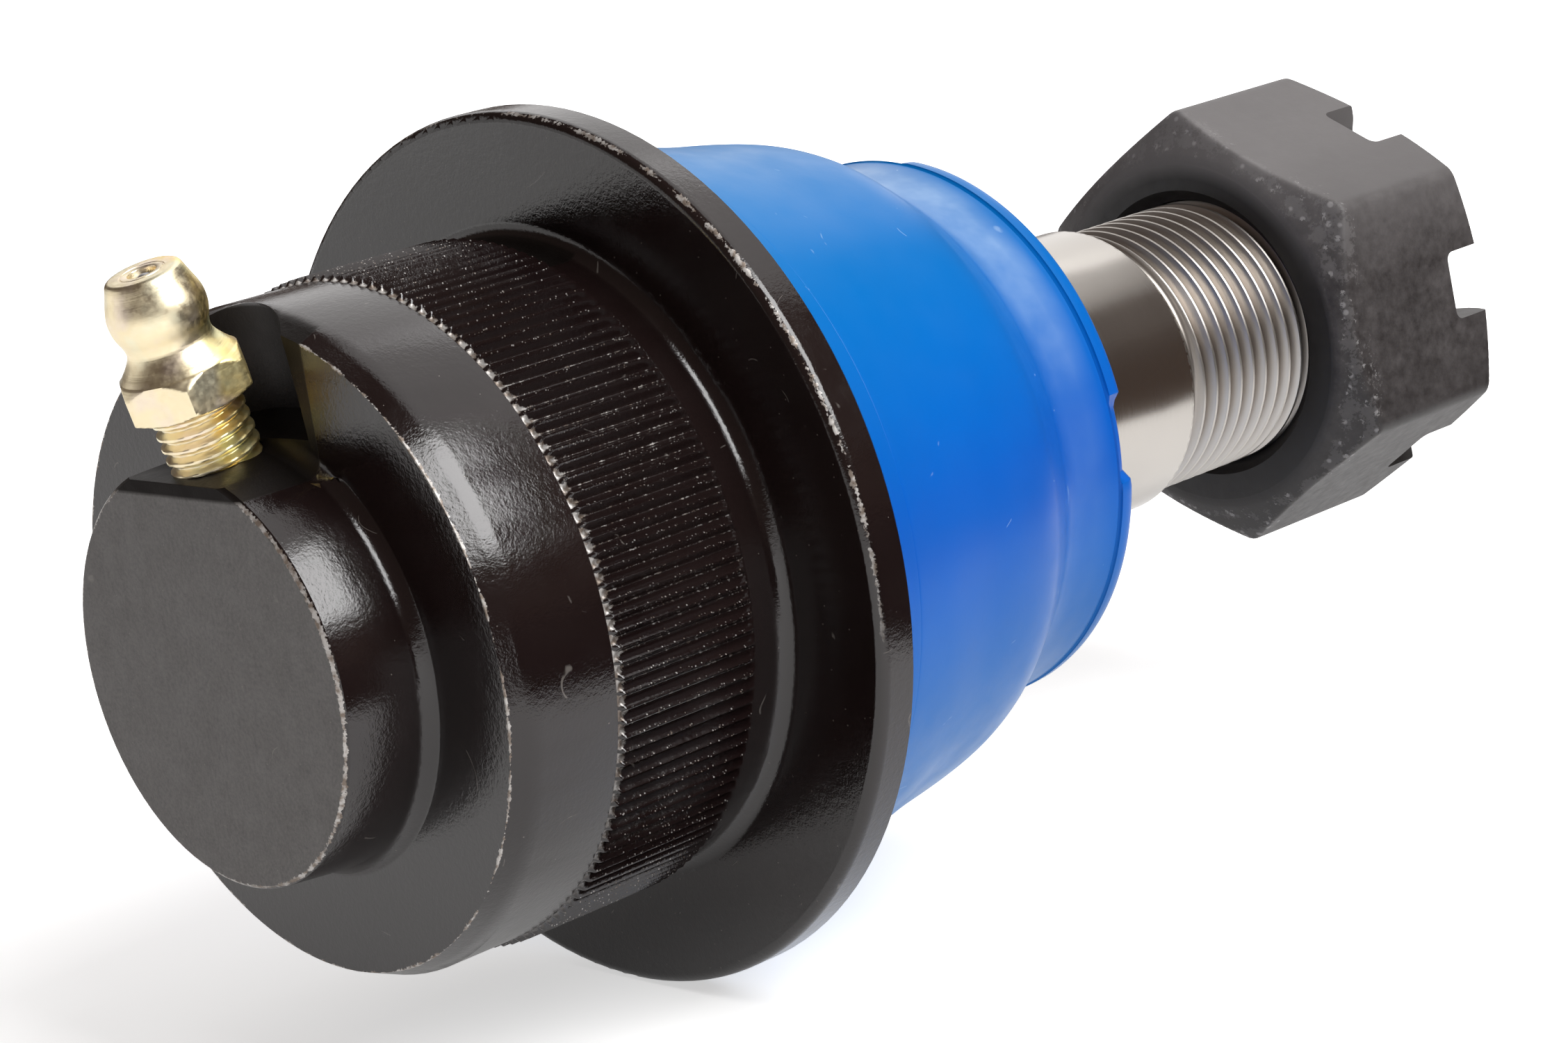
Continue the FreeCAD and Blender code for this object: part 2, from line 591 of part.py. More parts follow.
# Grease nipple, with its own +X outwards and zero at the pocket floor
def make_grease_fitting():
    body = new_body("grease_fitting_body", nipple_place())
    foot = "-1 * nipple_depth"
    seat_start = f"{NIPPLE_TOP} - mouth_depth - mouth_cone"
    turned(body, "nipple_form", [
        (foot, "0"),
        (foot, "nipple_thread - nipple_bevel"),
        (f"{foot} + nipple_bevel", "nipple_thread"),
        ("nipple_stand", "nipple_thread"),
        (HEXAGON_TOP, "nipple_flats / 2 - cone_inset"),
        (WAIST, "nipple_waist"),
        (LAND_START, "nipple_head"),
        (LAND_END, "nipple_head"),
        (HEAD_EDGE, "head_edge_radius"),
        (NIPPLE_TOP, "nipple_top"),
        (NIPPLE_TOP, "0"),
    ])
    padded(body, "nipple_hexagon_block", hexagon("nipple_flats"), "nipple_stand", "nipple_hexagon")
    corner_chamfer(body, "hexagon_chamfer", HEXAGON_TOP, -1, "nipple_flats", "hexagon_inset", "hexagon_bevel")
    turned(body, "nipple_bore_cut", [
        (f"{foot} - cut_margin", "0"),
        (f"{foot} - cut_margin", "inlet_radius"),
        (SPRING_LEDGE, "inlet_radius"),
        (SPRING_LEDGE, CHECK_BORE),
        (seat_start, CHECK_BORE),
        (f"{seat_start} + mouth_cone", "check_ball_radius - mouth_cover"),
        (f"{NIPPLE_TOP} + cut_margin", "check_ball_radius - mouth_cover"),
        (f"{NIPPLE_TOP} + cut_margin", "0"),
    ], cut=True)
    return body


def make_check_ball():
    ball = doc.addObject("Part::Sphere", "grease_check_ball")
    ball.Label = "grease_check_ball"
    ball.setExpression("Radius", bound("check_ball_radius"))
    ball.Placement = nipple_place(CHECK_BALL)
    return ball


def make_check_spring():
    """A wire swept along a helix whose axis is the nipple's."""
    length, turns, wire = size_of("check_length"), size_of("check_turns"), size_of("check_wire")
    coil = size_of("check_ball_radius - 2 * check_wire")
    helix = Part.makeHelix(length / turns, length, coil)
    start = FreeCAD.Vector(coil, 0, 0)
    section = Part.Wire(Part.makeCircle(wire, start, FreeCAD.Vector(0, 1, 0)))
    spring = doc.addObject("Part::Feature", "grease_check_spring")
    spring.Shape = Part.Wire(helix).makePipeShell([section], True, True)
    spring.Label = "grease_check_spring"
    upright = FreeCAD.Placement(FreeCAD.Vector(), FreeCAD.Rotation(UPWARD, AXIS))
    spring.Placement = nipple_place(f"{SPRING_LEDGE} + check_wire + check_gap").multiply(upright)
    return spring


PIECES = [
    make_housing(),
    make_preload_spring(),
    make_spring_plate(),
    make_pressure_seat(),
    make_upper_bearing(),
    make_retaining_ring(),
    make_ball_stud(),
    make_castle_nut(),
    make_dust_boot(),
    make_boot_base_ring(),
    make_boot_neck_ring(),
    make_grease_fitting(),
    make_check_ball(),
    make_check_spring(),
]
doc.recompute()

for item in doc.Objects:
    if "Invalid" in item.State or "Error" in item.State:
        raise ValueError(f"{item.Label} failed: {item.State}")
for piece in PIECES:
    if piece.Shape.isNull() or not piece.Shape.isValid() or not piece.Shape.Solids:
        raise ValueError(piece.Label + " has no valid solid")

os.makedirs("parts", exist_ok=True)
for piece in PIECES:
    piece.Shape.exportStep(f"parts/{piece.Label}.step")
    print(f"{piece.Label}: {piece.Shape.Volume:.1f} mm3, {len(piece.Shape.Faces)} faces")
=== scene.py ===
# %% [markdown]
# A press-in suspension ball joint: a black coated steel housing with a serrated band and a wide
# flange, a blue moulded boot, a plated stud with a fine thread, a slotted nut and a grease nipple.
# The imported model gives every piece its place. This lesson dresses it: pieces whose shape is
# already right keep their mesh and get a finish, and pieces that lack fine form, such as threads
# and serrations, are replaced by finer surfaces in the same place.

import bpy
import numpy as np
from mathutils import Matrix, Vector


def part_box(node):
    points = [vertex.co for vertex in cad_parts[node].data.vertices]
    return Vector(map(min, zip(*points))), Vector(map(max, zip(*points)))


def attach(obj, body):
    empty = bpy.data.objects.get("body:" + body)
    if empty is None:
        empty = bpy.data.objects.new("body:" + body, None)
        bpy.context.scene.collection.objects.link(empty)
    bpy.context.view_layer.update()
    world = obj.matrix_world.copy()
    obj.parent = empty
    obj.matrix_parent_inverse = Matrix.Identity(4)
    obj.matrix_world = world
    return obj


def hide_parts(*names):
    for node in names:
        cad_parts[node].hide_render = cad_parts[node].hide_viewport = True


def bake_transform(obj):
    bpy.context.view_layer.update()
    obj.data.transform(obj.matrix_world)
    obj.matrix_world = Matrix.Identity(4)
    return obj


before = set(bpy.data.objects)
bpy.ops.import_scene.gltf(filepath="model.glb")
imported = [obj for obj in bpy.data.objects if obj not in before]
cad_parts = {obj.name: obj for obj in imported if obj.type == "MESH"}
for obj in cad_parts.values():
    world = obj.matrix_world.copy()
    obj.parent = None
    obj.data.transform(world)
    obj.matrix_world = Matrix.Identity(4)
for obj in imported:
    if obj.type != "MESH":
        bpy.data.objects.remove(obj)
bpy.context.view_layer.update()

# %% [markdown]
# The joint is turned about the X axis, so most places are a height along X and a radius from it.
# They are kept in millimetres, as on a drawing, and turned into metres when a mesh is made. The
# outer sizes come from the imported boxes, and the rest are the drawing's own values.

# %% Heights and radii of the joint, in millimetres
MM = 0.001


def size_box(node):
    """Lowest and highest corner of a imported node, in millimetres."""
    low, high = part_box(node)
    return np.array(low) / MM, np.array(high) / MM


FLANGE_BACK, FLANGE_RADIUS, _ = size_box("housing")[1]
FLANGE_THICKNESS = 3.4
FLANGE_SEAT = FLANGE_BACK - FLANGE_THICKNESS
BOSS_RADIUS = 14.7
BOSS_HEIGHT = 6.8
SHOULDER_RADIUS = 22.9
PILOT_RADIUS = 23.8
BAND_START = 15.3
BAND_END = 28.3
BAND_RADIUS = 24.2
RELIEF_RADIUS = 23.2
print("flange radius", round(FLANGE_RADIUS, 2), "flange back", round(FLANGE_BACK, 2))

# %% [markdown]
# Every new piece is a grid of points that numpy works out at once. One helper joins the grid's
# neighbours with four-sided faces. Rows run along the piece and columns run round it. Where a
# row shrinks to a point, as at the end of a shaft, equal points are merged and the faces there
# become triangles.

# %% From a grid of points to a mesh
def mesh_object(name, points, quads=(), triangles=(), sharp=40.0):
    """An object at the origin from points in millimetres and faces as rows of point numbers.
    Edges that turn by more than sharp degrees stay crisp."""
    quads = np.reshape(np.asarray(quads, int), (-1, 4))
    triangles = np.reshape(np.asarray(triangles, int), (-1, 3))
    used, number = np.unique(np.concatenate([quads.ravel(), triangles.ravel()]), return_inverse=True)
    starts = np.concatenate([4 * np.arange(len(quads)), quads.size + 3 * np.arange(len(triangles))])
    mesh = bpy.data.meshes.new(name)
    mesh.vertices.add(len(used))
    mesh.vertices.foreach_set("co", (points[used] * MM).ravel())
    mesh.loops.add(len(number))
    mesh.loops.foreach_set("vertex_index", number)
    mesh.polygons.add(len(starts))
    mesh.polygons.foreach_set("loop_start", starts)
    mesh.update(calc_edges=True)
    mesh.validate()
    mesh.shade_smooth()
    mesh.set_sharp_from_angle(angle=np.radians(sharp))
    made = bpy.data.objects.new(name, mesh)
    bpy.context.scene.collection.objects.link(made)
    print(f"{name}: {len(mesh.vertices)} points, {len(mesh.polygons)} faces")
    return made


def merged(points, gap=1e-4):
    """Points without doubles, and the number that each old point now has. Points that round to
    the same multiple of gap count as one."""
    spots, first, number = np.unique(
        np.round(points / gap).astype(np.int64), axis=0, return_index=True, return_inverse=True)
    return points[first], number.ravel()


def grid_faces(rows, columns, round_columns, round_rows):
    """Four point numbers for each cell of a grid, which may close round its columns or rows."""
    index = np.arange(rows * columns).reshape(rows, columns)
    if round_columns:
        index = np.hstack([index, index[:, :1]])
    if round_rows:
        index = np.vstack([index, index[:1]])
    corners = [index[:-1, :-1], index[:-1, 1:], index[1:, 1:], index[1:, :-1]]
    return np.stack(corners, axis=-1).reshape(-1, 4)


def surface(name, *grids, round_columns=True, round_rows=False, sharp=40.0):
    """One object from grids of points, each with shape (rows, columns, 3)."""
    points = np.concatenate([grid.reshape(-1, 3) for grid in grids])
    offsets = np.cumsum([0] + [grid.shape[0] * grid.shape[1] for grid in grids[:-1]])
    faces = np.concatenate([
        start + grid_faces(*grid.shape[:2], round_columns, round_rows)
        for start, grid in zip(offsets, grids)])
    points, number = merged(points)
    faces = number[faces]
    keep = faces != np.roll(faces, -1, axis=1)
    corners = keep.sum(axis=1)
    quads = faces[corners == 4]
    triangles = faces[corners == 3][keep[corners == 3]]
    return mesh_object(name, points, quads, triangles, sharp)


def about_axis(height, radius, turn):
    """Points at a height along X, a radius from X, and a turn in radians from +Y towards +Z."""
    height, radius, turn = np.broadcast_arrays(height, radius, turn)
    return np.stack([height, radius * np.cos(turn), radius * np.sin(turn)], axis=-1)


def full_turn(steps):
    """Turns in radians, evenly spaced, without the last that would double the first."""
    return np.linspace(0, 2 * np.pi, steps, endpoint=False)


def smoothstep(low, high, value):
    """0 below low, 1 above high, and 3t^2 - 2t^3 between."""
    t = np.clip((value - low) / (high - low), 0, 1)
    return t * t * (3 - 2 * t)


def packed_triangles(node):
    """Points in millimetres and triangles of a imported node, with equal points merged."""
    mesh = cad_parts[node].data
    points = np.empty(3 * len(mesh.vertices))
    mesh.vertices.foreach_get("co", points)
    corners = np.empty(len(mesh.loops), int)
    mesh.loops.foreach_get("vertex_index", corners)
    points, number = merged(points.reshape(-1, 3) / MM)
    return points, number[corners].reshape(-1, 3)


def cut_away(target, cutter, sharp=40.0):
    """The target's mesh less the cutter's, kept as plain mesh, and the cutter removed."""
    boolean = target.modifiers.new("cut", "BOOLEAN")
    boolean.operation = "DIFFERENCE"
    boolean.object = cutter
    finished = bpy.data.meshes.new_from_object(
        target.evaluated_get(bpy.context.evaluated_depsgraph_get()))
    target.modifiers.clear()
    finished.name = target.name
    target.data = finished
    target.data.shade_smooth()
    target.data.set_sharp_from_angle(angle=np.radians(sharp))
    bpy.data.objects.remove(cutter)
    print(f"{target.name} cut: {len(finished.vertices)} points, {len(finished.polygons)} faces")


def weighted_normals(target):
    """Large flat faces keep their own normal, and the fillets beside them take the bend."""
    modifier = target.modifiers.new("weighted", "WEIGHTED_NORMAL")
    modifier.keep_sharp = True


# %% [markdown]
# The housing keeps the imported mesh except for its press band, which is plain in the solid. The
# band's faces are left out of the copy, and a serrated band takes their place. The boss's side
# widens a little towards the shoulder, as a forging's draft does.

# %% Housing without its plain band
BOSS_DRAFT = 0.08
POCKET_FLOOR = 12.5


def housing_copy():
    """The boss's side grows by the draft times its height, less where the fillet takes over, and
    only below the floor of the nipple's pocket."""
    points, triangles = packed_triangles("housing")
    centre = points[triangles].mean(axis=1)
    on_band = (centre[:, 0] > BAND_START) & (centre[:, 0] < BAND_END)
    on_band &= np.hypot(centre[:, 1], centre[:, 2]) > RELIEF_RADIUS - 0.1
    radius = np.hypot(points[:, 1], points[:, 2])
    on_boss = (radius > BOSS_RADIUS - 0.05) & (radius < BOSS_RADIUS + 2.3)
    on_boss &= (points[:, 0] < BOSS_HEIGHT + 0.1) & (points[:, 2] < POCKET_FLOOR)
    growth = BOSS_DRAFT * np.clip(points[:, 0] - 0.3, 0, None)
    growth *= 1 - smoothstep(BOSS_RADIUS + 0.1, BOSS_RADIUS + 1.7, radius)
    points[:, 1:] *= (1 + np.where(on_boss, growth / np.maximum(radius, 1), 0))[:, None]
    shell = mesh_object("housing_shell", points, triangles=triangles[~on_band], sharp=32)
    weighted_normals(shell)
    print("faces left out for the band:", int(on_band.sum()))
    return shell


housing_shell = housing_copy()

# %% [markdown]
# The serrations are rolled along the axis: 144 rounded ridges that stand above the pilot, with
# grooves pressed a little below it. The ridge height follows 1 - |sin(pi p)|^1.6 with p running
# from 0 to 1 across each tooth. Ridges climb out of the pilot over 0.4 mm, and each
# groove begins with a short ramp, which shows as a bright little wedge.

# %% Serrated press band
TEETH = 144
STEPS_PER_TOOTH = 10
GROOVE_RADIUS = 23.5
BAND_CONE_START = 27.3
TUCK = 0.4


def make_serrations():
    """Radius = the lower of the ridged band and the cone that ends it. The first and last rows
    are tucked below the neighbouring faces, so no gap shows."""
    turn = full_turn(TEETH * STEPS_PER_TOOTH)
    ridge = 1 - np.abs(np.sin(turn * TEETH / 2)) ** 1.6
    height = np.array([15.0, 15.3, 15.4, 15.5, 15.6, 15.7, 15.8, 15.95, 16.1, 16.4,
                       18, 21, 24, 26.6, 27.2, 27.45, 27.8, 28.3, 28.6])
    crest = PILOT_RADIUS + (BAND_RADIUS - PILOT_RADIUS) * smoothstep(15.3, 15.7, height)
    root = PILOT_RADIUS - (PILOT_RADIUS - GROOVE_RADIUS) * smoothstep(15.35, 16.1, height)
    cone = BAND_RADIUS - np.clip(height - BAND_CONE_START, 0, 1) * (BAND_RADIUS - RELIEF_RADIUS)
    tooth = root[:, None] + (crest - root)[:, None] * ridge
    radius = np.minimum(tooth, cone[:, None])
    radius[0] = PILOT_RADIUS - TUCK
    radius[-1] = RELIEF_RADIUS - TUCK
    return surface("serrated_band", about_axis(height[:, None], radius, turn), sharp=60)


serrated_band = make_serrations()

# %% [markdown]
# The stud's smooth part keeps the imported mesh. Its thread is a surface of its own, whose grid
# lines follow the helix, so the flanks stay crisp: a point at height x and turn a lies in the
# groove by the phase (x / pitch - a / 2 pi), and the groove is a 60 degree V with a rounded root.

# %% Smooth shank and fine thread
THREAD_START = 87.1
THREAD_RADIUS = 11.0
SHANK_END_RADIUS = 11.65
THREAD_PITCH = 1.5
THREAD_DEPTH = 0.92
STUD_END = size_box("ball_stud")[1][0]
END_BEVEL = 1.4
PIN_HOLE_PLACE = 110.0
PIN_HOLE_RADIUS = 2.5
PIN_HOLE_REACH = 14


def stud_copy():
    """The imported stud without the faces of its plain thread."""
    points, triangles = packed_triangles("ball_stud")
    centre = points[triangles].mean(axis=1)
    smooth = triangles[centre[:, 0] < THREAD_START]
    body = mesh_object("stud_body", points, triangles=smooth, sharp=32)
    weighted_normals(body)
    return body


def groove(phase, flat=0.125, root=0.2):
    """Share of the thread's depth at a phase: 0 on the crest's flat, then a straight flank down
    to a rounded root in the middle."""
    side = np.abs((phase % 1) - 0.5) * 2
    flank = np.clip((1 - flat - side) / (1 - flat - root), 0, 1)
    return flank + 0.06 * (1 - np.clip(side / root, 0, 1) ** 2)


def helical_grid(start, end, pitch, columns, per_pitch):
    """Height and turn of a grid whose rows climb one pitch each turn, held between start and end."""
    turn = np.linspace(0, 2 * np.pi, columns + 1)
    rows = int((end - start) / pitch + 2) * per_pitch
    first = start + pitch * (np.arange(rows) / per_pitch - 1)
    return np.clip(first[:, None] + pitch * turn / (2 * np.pi), start, end), turn


def make_stud_thread():
    """Radius = shank or its end cone, less the groove, under the cone of the end bevel."""
    height, turn = helical_grid(THREAD_START - 0.1, STUD_END, THREAD_PITCH, 120, 12)
    shank = np.clip(SHANK_END_RADIUS - (height - THREAD_START), THREAD_RADIUS, SHANK_END_RADIUS)
    depth = THREAD_DEPTH * smoothstep(87.6, 89.2, height)
    depth = depth * groove(height / THREAD_PITCH - turn / (2 * np.pi))
    radius = np.minimum(shank - depth, THREAD_RADIUS - END_BEVEL + (STUD_END - height))
    ends = about_axis(np.array([[THREAD_START - 0.1], [STUD_END]]), 0.0, turn[None, :])
    grid = np.concatenate([ends[:1], about_axis(height, radius, turn), ends[1:]])
    return surface("stud_thread", grid, round_columns=False, sharp=35)


def pin_hole_cutter():
    """A bar along Y through the stud."""
    turn = full_turn(40)
    reach = np.array([0, 1, 1, 0])[:, None] * PIN_HOLE_RADIUS
    along = np.array([-1, -1, 1, 1])[:, None] * PIN_HOLE_REACH + 0 * turn
    grid = np.stack([PIN_HOLE_PLACE + reach * np.sin(turn), along, reach * np.cos(turn)], axis=-1)
    return surface("pin_hole_cutter", grid)


stud_body = stud_copy()
stud_thread = make_stud_thread()
cut_away(stud_thread, pin_hole_cutter(), sharp=35)

# %% [markdown]
# The nut is one closed ring whose outer radius is the lowest of three shapes: a hexagon with
# rounded corners and a chamfer cone at each end. Where a cone meets a flat the lower one wins,
# which draws the curved line that every turned hexagon has. The slots are cut afterwards by
# six bars with rounded bottoms.

# %% Slotted nut
NUT_START, NUT_END = (corner[0] for corner in size_box("castle_nut"))
NUT_FLAT = 16.0
NUT_CORNER_ROUND = 1.2
NUT_TURN = np.radians(-4.3)
NUT_CORNER = NUT_FLAT / np.cos(np.radians(30))
NUT_FACE_LOW, NUT_FACE_HIGH = 14.5, 14.2
NUT_CHAMFER = 2.4
NUT_BORE = 11.05
NUT_SINK = 1.0
CHAMFER_SOFTNESS = 0.14
SLOT_WIDTH = 5.6
SLOT_DEPTH = 5.0


def hexagon_radius(turn, flat, corner_round):
    """Radius of a hexagon with rounded corners; a flat lies at turn 0. Near a corner it is
    d cos t + sqrt(q^2 - d^2 sin^2 t) with t measured from the corner and q the rounding."""
    from_flat = (turn + np.pi / 6) % (np.pi / 3) - np.pi / 6
    from_corner = np.pi / 6 - np.abs(from_flat)
    centre = (flat - corner_round) / np.cos(np.pi / 6)
    inside = np.clip(corner_round ** 2 - (centre * np.sin(from_corner)) ** 2, 0, None)
    arc = centre * np.cos(from_corner) + np.sqrt(inside)
    limit = np.arctan2(corner_round / 2, centre + corner_round * np.cos(np.pi / 6))
    return np.where(from_corner < limit, arc, flat / np.cos(from_flat))


def soft_lower(first, second, softness):
    """Smooth minimum -k ln(exp(-a / k) + exp(-b / k)), which rounds the edge between them."""
    return -softness * np.logaddexp(-first / softness, -second / softness)


def make_nut_ring():
    """Rows run up the outside and back down the bore. Close to each end the outside draws in by
    a few tenths, so the ends have a worn lip and not a knife's edge."""
    turn = full_turn(360)
    near_end = np.concatenate([[0, 0.04, 0.1, 0.2], np.arange(0.32, 2.9, 0.14)])
    along_flats = np.linspace(NUT_START + 3.5, NUT_END - 3.5, 7)
    height = np.concatenate([NUT_START + near_end, along_flats, NUT_END - near_end[::-1]])
    low_cone = NUT_FACE_LOW + (height - NUT_START) * (NUT_CORNER - NUT_FACE_LOW) / NUT_CHAMFER
    high_cone = NUT_FACE_HIGH + (NUT_END - height) * (NUT_CORNER - NUT_FACE_HIGH) / NUT_CHAMFER
    cones = soft_lower(low_cone, high_cone, 0.06)[:, None]
    hexagon = hexagon_radius(turn - NUT_TURN, NUT_FLAT, NUT_CORNER_ROUND)
    outer = soft_lower(hexagon, cones, CHAMFER_SOFTNESS)
    worn_lip = 0.35 * (1 - smoothstep(0, 0.35, height - NUT_START)) ** 2
    soft_end = 0.6 * (1 - smoothstep(0, 0.6, NUT_END - height)) ** 2
    outer = outer - (worn_lip + soft_end)[:, None]
    bore_height = np.array([NUT_END, NUT_END - NUT_SINK, NUT_START + NUT_SINK, NUT_START])
    bore_radius = np.array([NUT_BORE + NUT_SINK, NUT_BORE, NUT_BORE, NUT_BORE + NUT_SINK])
    bore = about_axis(bore_height[:, None], bore_radius[:, None], turn)
    rows = np.concatenate([about_axis(height[:, None], outer, turn), bore])
    return surface("nut_body", rows, round_rows=True)


def slot_cutters():
    """Six bars whose lower corners are round, each from inside the bore to outside the nut."""
    rounding = 0.7
    quarter = np.linspace(0, np.pi / 2, 7)
    side = SLOT_WIDTH / 2 - rounding + rounding * np.sin(quarter)
    rise = NUT_END - SLOT_DEPTH + rounding - rounding * np.cos(quarter)
    across = np.concatenate([side, [SLOT_WIDTH / 2, -SLOT_WIDTH / 2], -side[::-1]])
    height = np.concatenate([rise, [NUT_END + 2] * 2, rise[::-1]])
    middle = np.full_like(height, NUT_END - 1)
    grids = []
    for flat in range(6):
        turn = NUT_TURN + flat * np.pi / 3
        out = np.array([8, 8, 20, 20])[:, None] + 0 * across
        sideways = np.stack([0 * across, across, across, 0 * across])
        place = np.stack([middle, height, height, middle])
        grids.append(np.stack([
            place,
            out * np.cos(turn) - sideways * np.sin(turn),
            out * np.sin(turn) + sideways * np.cos(turn)], axis=-1))
    return surface("slot_cutters", *grids)


nut_body = make_nut_ring()
cut_away(nut_body, slot_cutters(), sharp=30)

# %% [markdown]
# The boot is a moulded shell turned from an outer and an inner line, which are rows of height
# and radius. It stands on the flange with a thin lip and a small step, bulges, narrows to a
# rounded valley and ends in a collar that grips the stud. The collar's rim has four shallow
# notches and a fine parting groove.

# %% Moulded boot
BOOT_LINE = np.array([
    (35.0, 28.55), (35.05, 28.85), (35.25, 29.0), (36.25, 29.0), (36.45, 28.9), (36.6, 28.6),
    (38.2, 28.33), (39.1, 28.2), (39.22, 28.16), (39.36, 28.0), (39.6, 27.98), (41.0, 27.74),
    (44.0, 27.2), (48.0, 26.4), (52.0, 25.8), (55.0, 25.2), (57.0, 24.5), (58.5, 23.6),
    (60.0, 22.6), (61.2, 21.75), (62.2, 21.3), (63.4, 21.15), (65.0, 21.2), (66.6, 21.32),
    (67.2, 21.35)])


def smooth_line(points, steps):
    """Points along a Catmull-Rom curve, which passes through every given point."""
    whole = np.concatenate([[2 * points[0] - points[1]], points, [2 * points[-1] - points[-2]]])
    place = np.linspace(0, len(points) - 1 - 1e-9, steps)
    step = place.astype(int)
    t = (place - step)[:, None]
    before, start, end, after = whole[step], whole[step + 1], whole[step + 2], whole[step + 3]
    return 0.5 * (2 * start + (end - before) * t + (2 * before - 5 * start + 4 * end - after) * t ** 2
                  + (3 * start - before - 3 * end + after) * t ** 3)


NOTCH_CENTRES = np.radians([179, 269, 359, 89])
NOTCH_HALF = np.radians(8.75)
NOTCH_DEPTH = 0.9


def make_boot():
    """Rows run up the outer line, over the collar's rim and back down inside."""
    turn = full_turn(240)
    outer = smooth_line(BOOT_LINE, 116)
    parting = np.array([
        (67.3, 21.46), (67.36, 21.3), (67.45, 21.22), (67.54, 21.3), (67.6, 21.44), (67.9, 21.45)])
    rim = np.array([(68.3, 21.42), (68.7, 21.3), (68.95, 21.1), (69.08, 20.8), (69.1, 20.3)])
    inner_top = np.array([(69.1, 14.2), (69.0, 13.6), (68.6, 13.2)])
    line = np.concatenate([outer, parting, rim])
    from_centres = (turn[:, None] - NOTCH_CENTRES + np.pi) % (2 * np.pi) - np.pi
    from_notch = np.min(np.abs(from_centres), axis=1)
    notch = 1 - smoothstep(0.86 * NOTCH_HALF, NOTCH_HALF, from_notch)
    sink = NOTCH_DEPTH * smoothstep(67.5, 67.7, line[:, 0])[:, None] * notch
    inside = np.array([
        (64.9, 12.6), (64.9, 17.5), (62.5, 19.4), (58.5, 21.5), (55.0, 23.0), (48.0, 24.2),
        (40.0, 25.8), (36.5, 26.6), (35.0, 26.8)])
    inner = np.concatenate([inner_top, inside])
    rows = np.concatenate([
        about_axis(line[:, :1], line[:, 1:] - sink, turn), about_axis(inner[:, :1], inner[:, 1:], turn)])
    return surface("boot_shell", rows, round_rows=True)


boot_shell = make_boot()

# %% [markdown]
# The grease nipple stands in the milled pocket on its own leaning axis. It is one surface about
# that axis: a screw thread, a small hexagon under a chamfer cone, a concave waist and the head
# that the grease gun grips, with a flat top and a mouth that the check ball closes.

# %% Grease nipple
NIPPLE_BASE = np.array([3.8, 0.0, 14.45])
NIPPLE_LEAN = np.radians(13.4)
NIPPLE_AXIS = np.array([-np.sin(NIPPLE_LEAN), 0.0, np.cos(NIPPLE_LEAN)])
NIPPLE_SIDE = np.array([0.0, 1.0, 0.0])
NIPPLE_OVER = np.cross(NIPPLE_AXIS, NIPPLE_SIDE)
NIPPLE_PITCH = 0.907
NIPPLE_TURN = np.radians(-3)
HEXAGON_START, HEXAGON_END = 4.2, 7.0


def about_nipple(height, radius, turn):
    """Points at a height along the nipple's axis, and a radius and a turn about it."""
    height, radius, turn = (part[..., None] for part in np.broadcast_arrays(height, radius, turn))
    return (NIPPLE_BASE + height * NIPPLE_AXIS
            + radius * np.cos(turn) * NIPPLE_SIDE + radius * np.sin(turn) * NIPPLE_OVER)


def make_nipple():
    """Thread, hexagon and turned head, stacked as rows of one grid."""
    turn = full_turn(120)
    thread_height = np.arange(-3.5, 4.1, NIPPLE_PITCH / 14)
    crest = 3.1 + 0.1 * smoothstep(-0.3, 0.1, thread_height)[:, None]
    phase = (thread_height[:, None] - 0.75) / NIPPLE_PITCH - turn / (2 * np.pi)
    thread = about_nipple(thread_height[:, None], crest - 0.5 * groove(phase, 0.22, 0.2), turn)
    hex_height = np.concatenate([[HEXAGON_START, 4.21], np.linspace(4.26, HEXAGON_END, 28)])
    low_cone = 3.95 + (hex_height - HEXAGON_START) * 1.9
    high_cone = 4.16 + (HEXAGON_END - hex_height) * 0.85
    cones = soft_lower(low_cone, high_cone, 0.03)[:, None]
    hexagon = soft_lower(hexagon_radius(turn - NIPPLE_TURN, 4.1, 0.22), cones, 0.02)
    hexagon = about_nipple(hex_height[:, None], hexagon, turn)
    neck = smooth_line(np.array([
        (7.05, 4.05), (7.35, 3.8), (7.7, 3.5), (8.2, 3.15), (8.6, 2.97), (8.9, 2.95), (9.3, 3.03),
        (9.8, 3.22), (10.3, 3.36), (10.9, 3.41), (11.4, 3.37), (11.9, 3.24), (12.6, 2.98),
        (13.2, 2.77)]), 60)
    top = np.array([
        (13.45, 2.68), (13.6, 2.58), (13.68, 2.45), (13.7, 2.3), (13.7, 1.62), (13.64, 1.58),
        (13.64, 1.5), (13.7, 1.46), (13.7, 1.14), (13.66, 1.04), (13.55, 1.0), (12.2, 1.0),
        (12.2, 0.0)])
    turned_part = np.concatenate([neck, top])
    foot = about_nipple(np.array([[-3.5]]), 0.0, turn[None, :])
    rows = [foot, thread, hexagon, about_nipple(turned_part[:, :1], turned_part[:, 1:], turn)]
    return surface("nipple_body", np.concatenate(rows), sharp=38)


nipple_body = make_nipple()

# %% [markdown]
# The finishes are built from a few shared effects, each a node group with named sockets: where a
# point lies on the joint, edges worn down to bare metal, the fine skin of a coating, dust specks,
# wandering scratches and the lines that a lathe leaves. Each material places them with its own
# values. The helpers below add one node each, so that a finish reads like a formula.

# %% Node helpers
def add_node(tree, kind, inputs=None, **settings):
    """A node with its settings; inputs gives sockets a value or another node's output."""
    node = tree.nodes.new(kind)
    for key, value in settings.items():
        setattr(node, key, value)
    for socket, value in (inputs or {}).items():
        if isinstance(value, bpy.types.NodeSocket):
            tree.links.new(value, node.inputs[socket])
        else:
            node.inputs[socket].default_value = value
    return node


